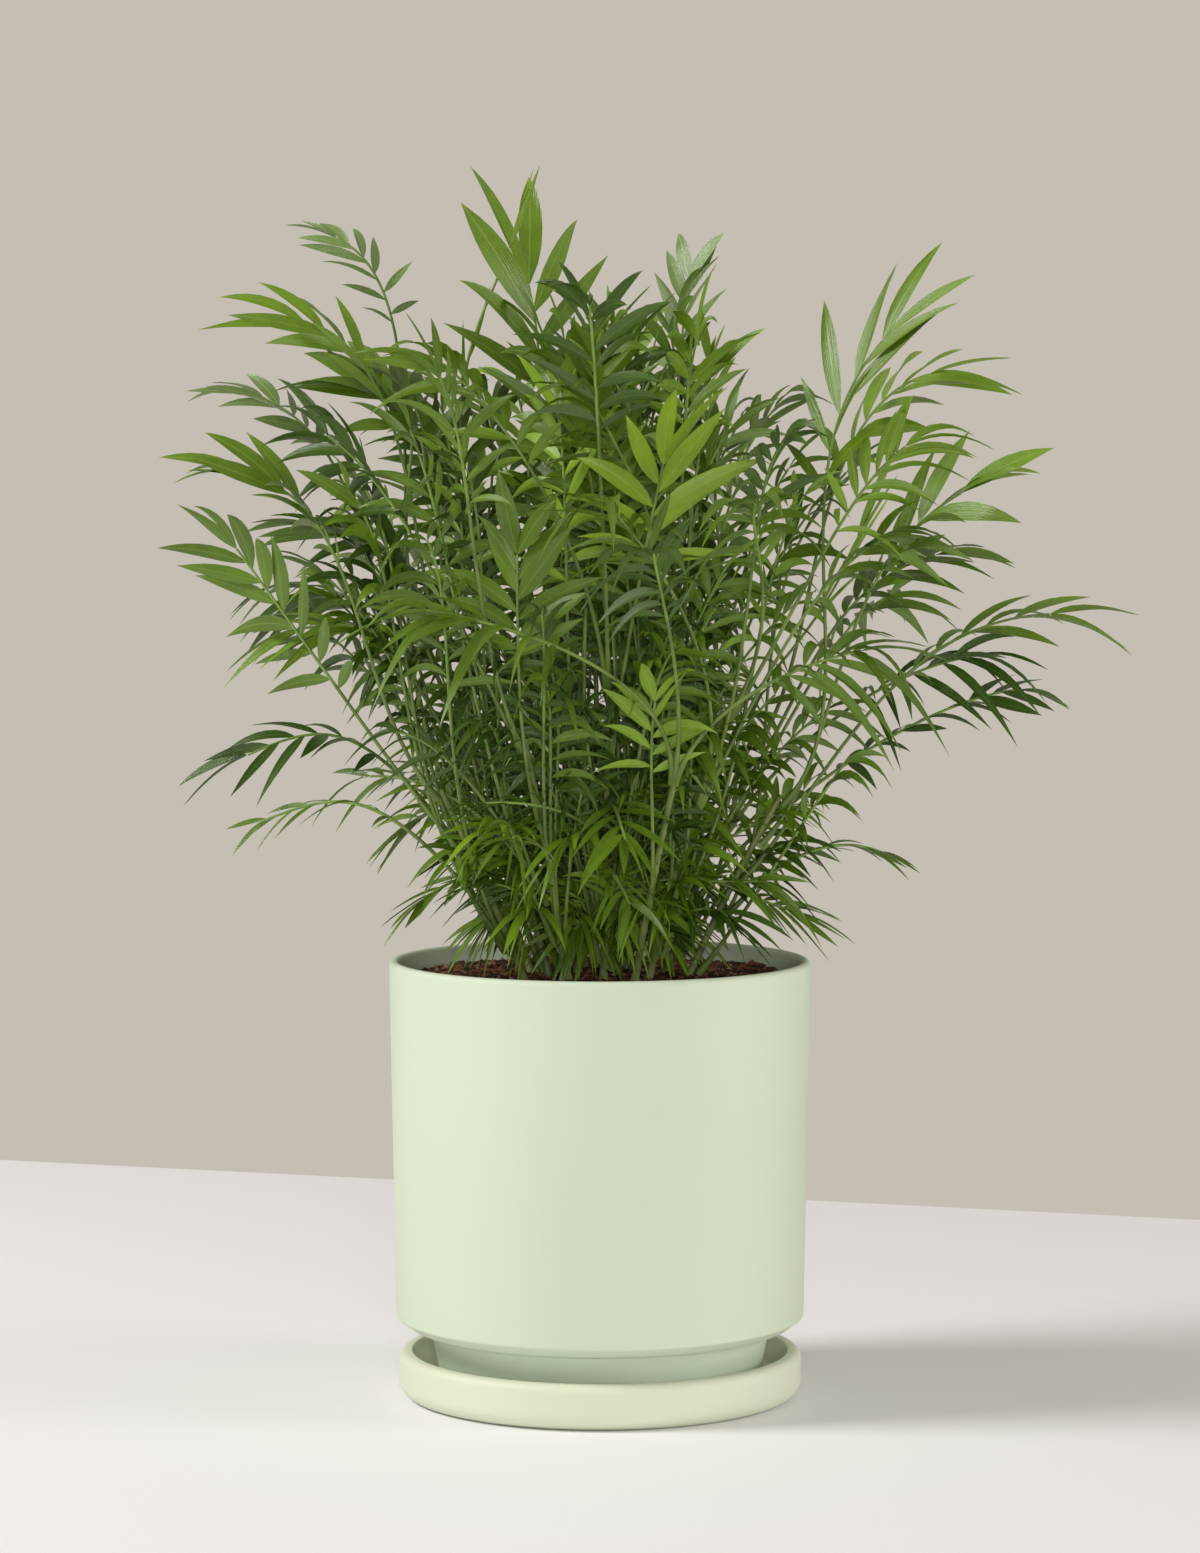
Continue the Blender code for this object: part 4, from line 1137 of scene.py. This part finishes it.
def make_pot_and_soil():
    glaze = glaze_group()
    pot = make_pot()
    coloured(pot, "pot_glaze", glaze, (203, 217, 193), (208, 220, 196), 1.0, 0.4)
    finished(pot, "pot", "pot")
    saucer = make_saucer()
    coloured(saucer, "saucer_glaze", glaze, (216, 221, 197), (220, 225, 203), 1.0, 0.4)
    finished(saucer, "saucer", "saucer")
    earth = earth_group()
    soil = make_soil()
    coloured(soil, "peat", earth, (38, 24, 18), (92, 60, 42), 420.0, 0.2)
    finished(soil, "soil", "soil")
    for kind in BARK:
        bark = make_bark(kind)
        coloured(bark, f"{kind.name}_skin", earth, kind.dark, kind.warm, 900.0, 0.25)
        finished(bark, "soil")


# Table, light and camera


def plain(name, colour, roughness):
    material = bpy.data.materials.new(name)
    material.use_nodes = True
    shader = material.node_tree.nodes["Principled BSDF"]
    shader.inputs["Base Color"].default_value = colour
    shader.inputs["Roughness"].default_value = roughness
    shader.inputs["Specular IOR Level"].default_value = 0.2
    return material


def make_table():
    only()
    bpy.ops.mesh.primitive_plane_add(size=1, location=(0, 0, 0))
    table = bpy.context.object
    table.name = "table"
    ahead = Vector((-math.sin(TABLE_TURN), math.cos(TABLE_TURN), 0))
    half = Vector((math.cos(TABLE_TURN), math.sin(TABLE_TURN), 0)) * TABLE_HALF
    far = Vector((0, TABLE_FAR, 0))
    near = far - ahead * TABLE_DEPTH
    for vert, corner in zip(table.data.vertices, (near - half, near + half, far - half, far + half)):
        vert.co = corner - UP * TABLE_DROP
    table.data.materials.append(plain("table_top", rgb(242, 240, 243), 0.7))


def make_lamp(kind):
    data = bpy.data.lights.new(kind.name, "AREA")
    data.shape = "DISK"
    data.size = kind.size
    data.energy = kind.power
    data.color = LAMP_COLOUR
    obj = bpy.data.objects.new(kind.name, data)
    obj.location = kind.place
    way = UP * kind.aim - Vector(kind.place)
    obj.rotation_euler = way.to_track_quat("-Z", "Y").to_euler()
    bpy.context.scene.collection.objects.link(obj)


def make_light():
    for kind in LAMPS:
        make_lamp(kind)
    world = bpy.data.worlds.new("room")
    world.use_nodes = True
    tree = world.node_tree
    tree.nodes.remove(tree.nodes["Background"])
    around = add(tree, "ShaderNodeBackground", {"Color": rgb(203, 196, 184), "Strength": ROOM_LIGHT})
    wall = add(tree, "ShaderNodeBackground", {"Color": rgb(197, 190, 179), "Strength": 1.0})
    seen = add(tree, "ShaderNodeLightPath").outputs["Is Camera Ray"]
    both = add(tree, "ShaderNodeMixShader", {0: seen, 1: around.outputs[0], 2: wall.outputs[0]})
    tree.links.new(both.outputs[0], tree.nodes["World Output"].inputs["Surface"])
    bpy.context.scene.world = world
    bpy.context.scene.view_settings.view_transform = "Standard"


def make_camera():
    data = bpy.data.cameras.new("camera")
    data.sensor_width = CAMERA_FRAME
    data.lens = CAMERA_LENS
    camera = bpy.data.objects.new("camera", data)
    camera.location = CAMERA_PLACE
    camera.rotation_euler = math.radians(90 - CAMERA_TILT), 0, 0
    bpy.context.scene.collection.objects.link(camera)
    bpy.context.scene.camera = camera


make_pot_and_soil()
make_plant()
make_table()
make_light()
make_camera()

bpy.context.view_layer.update()
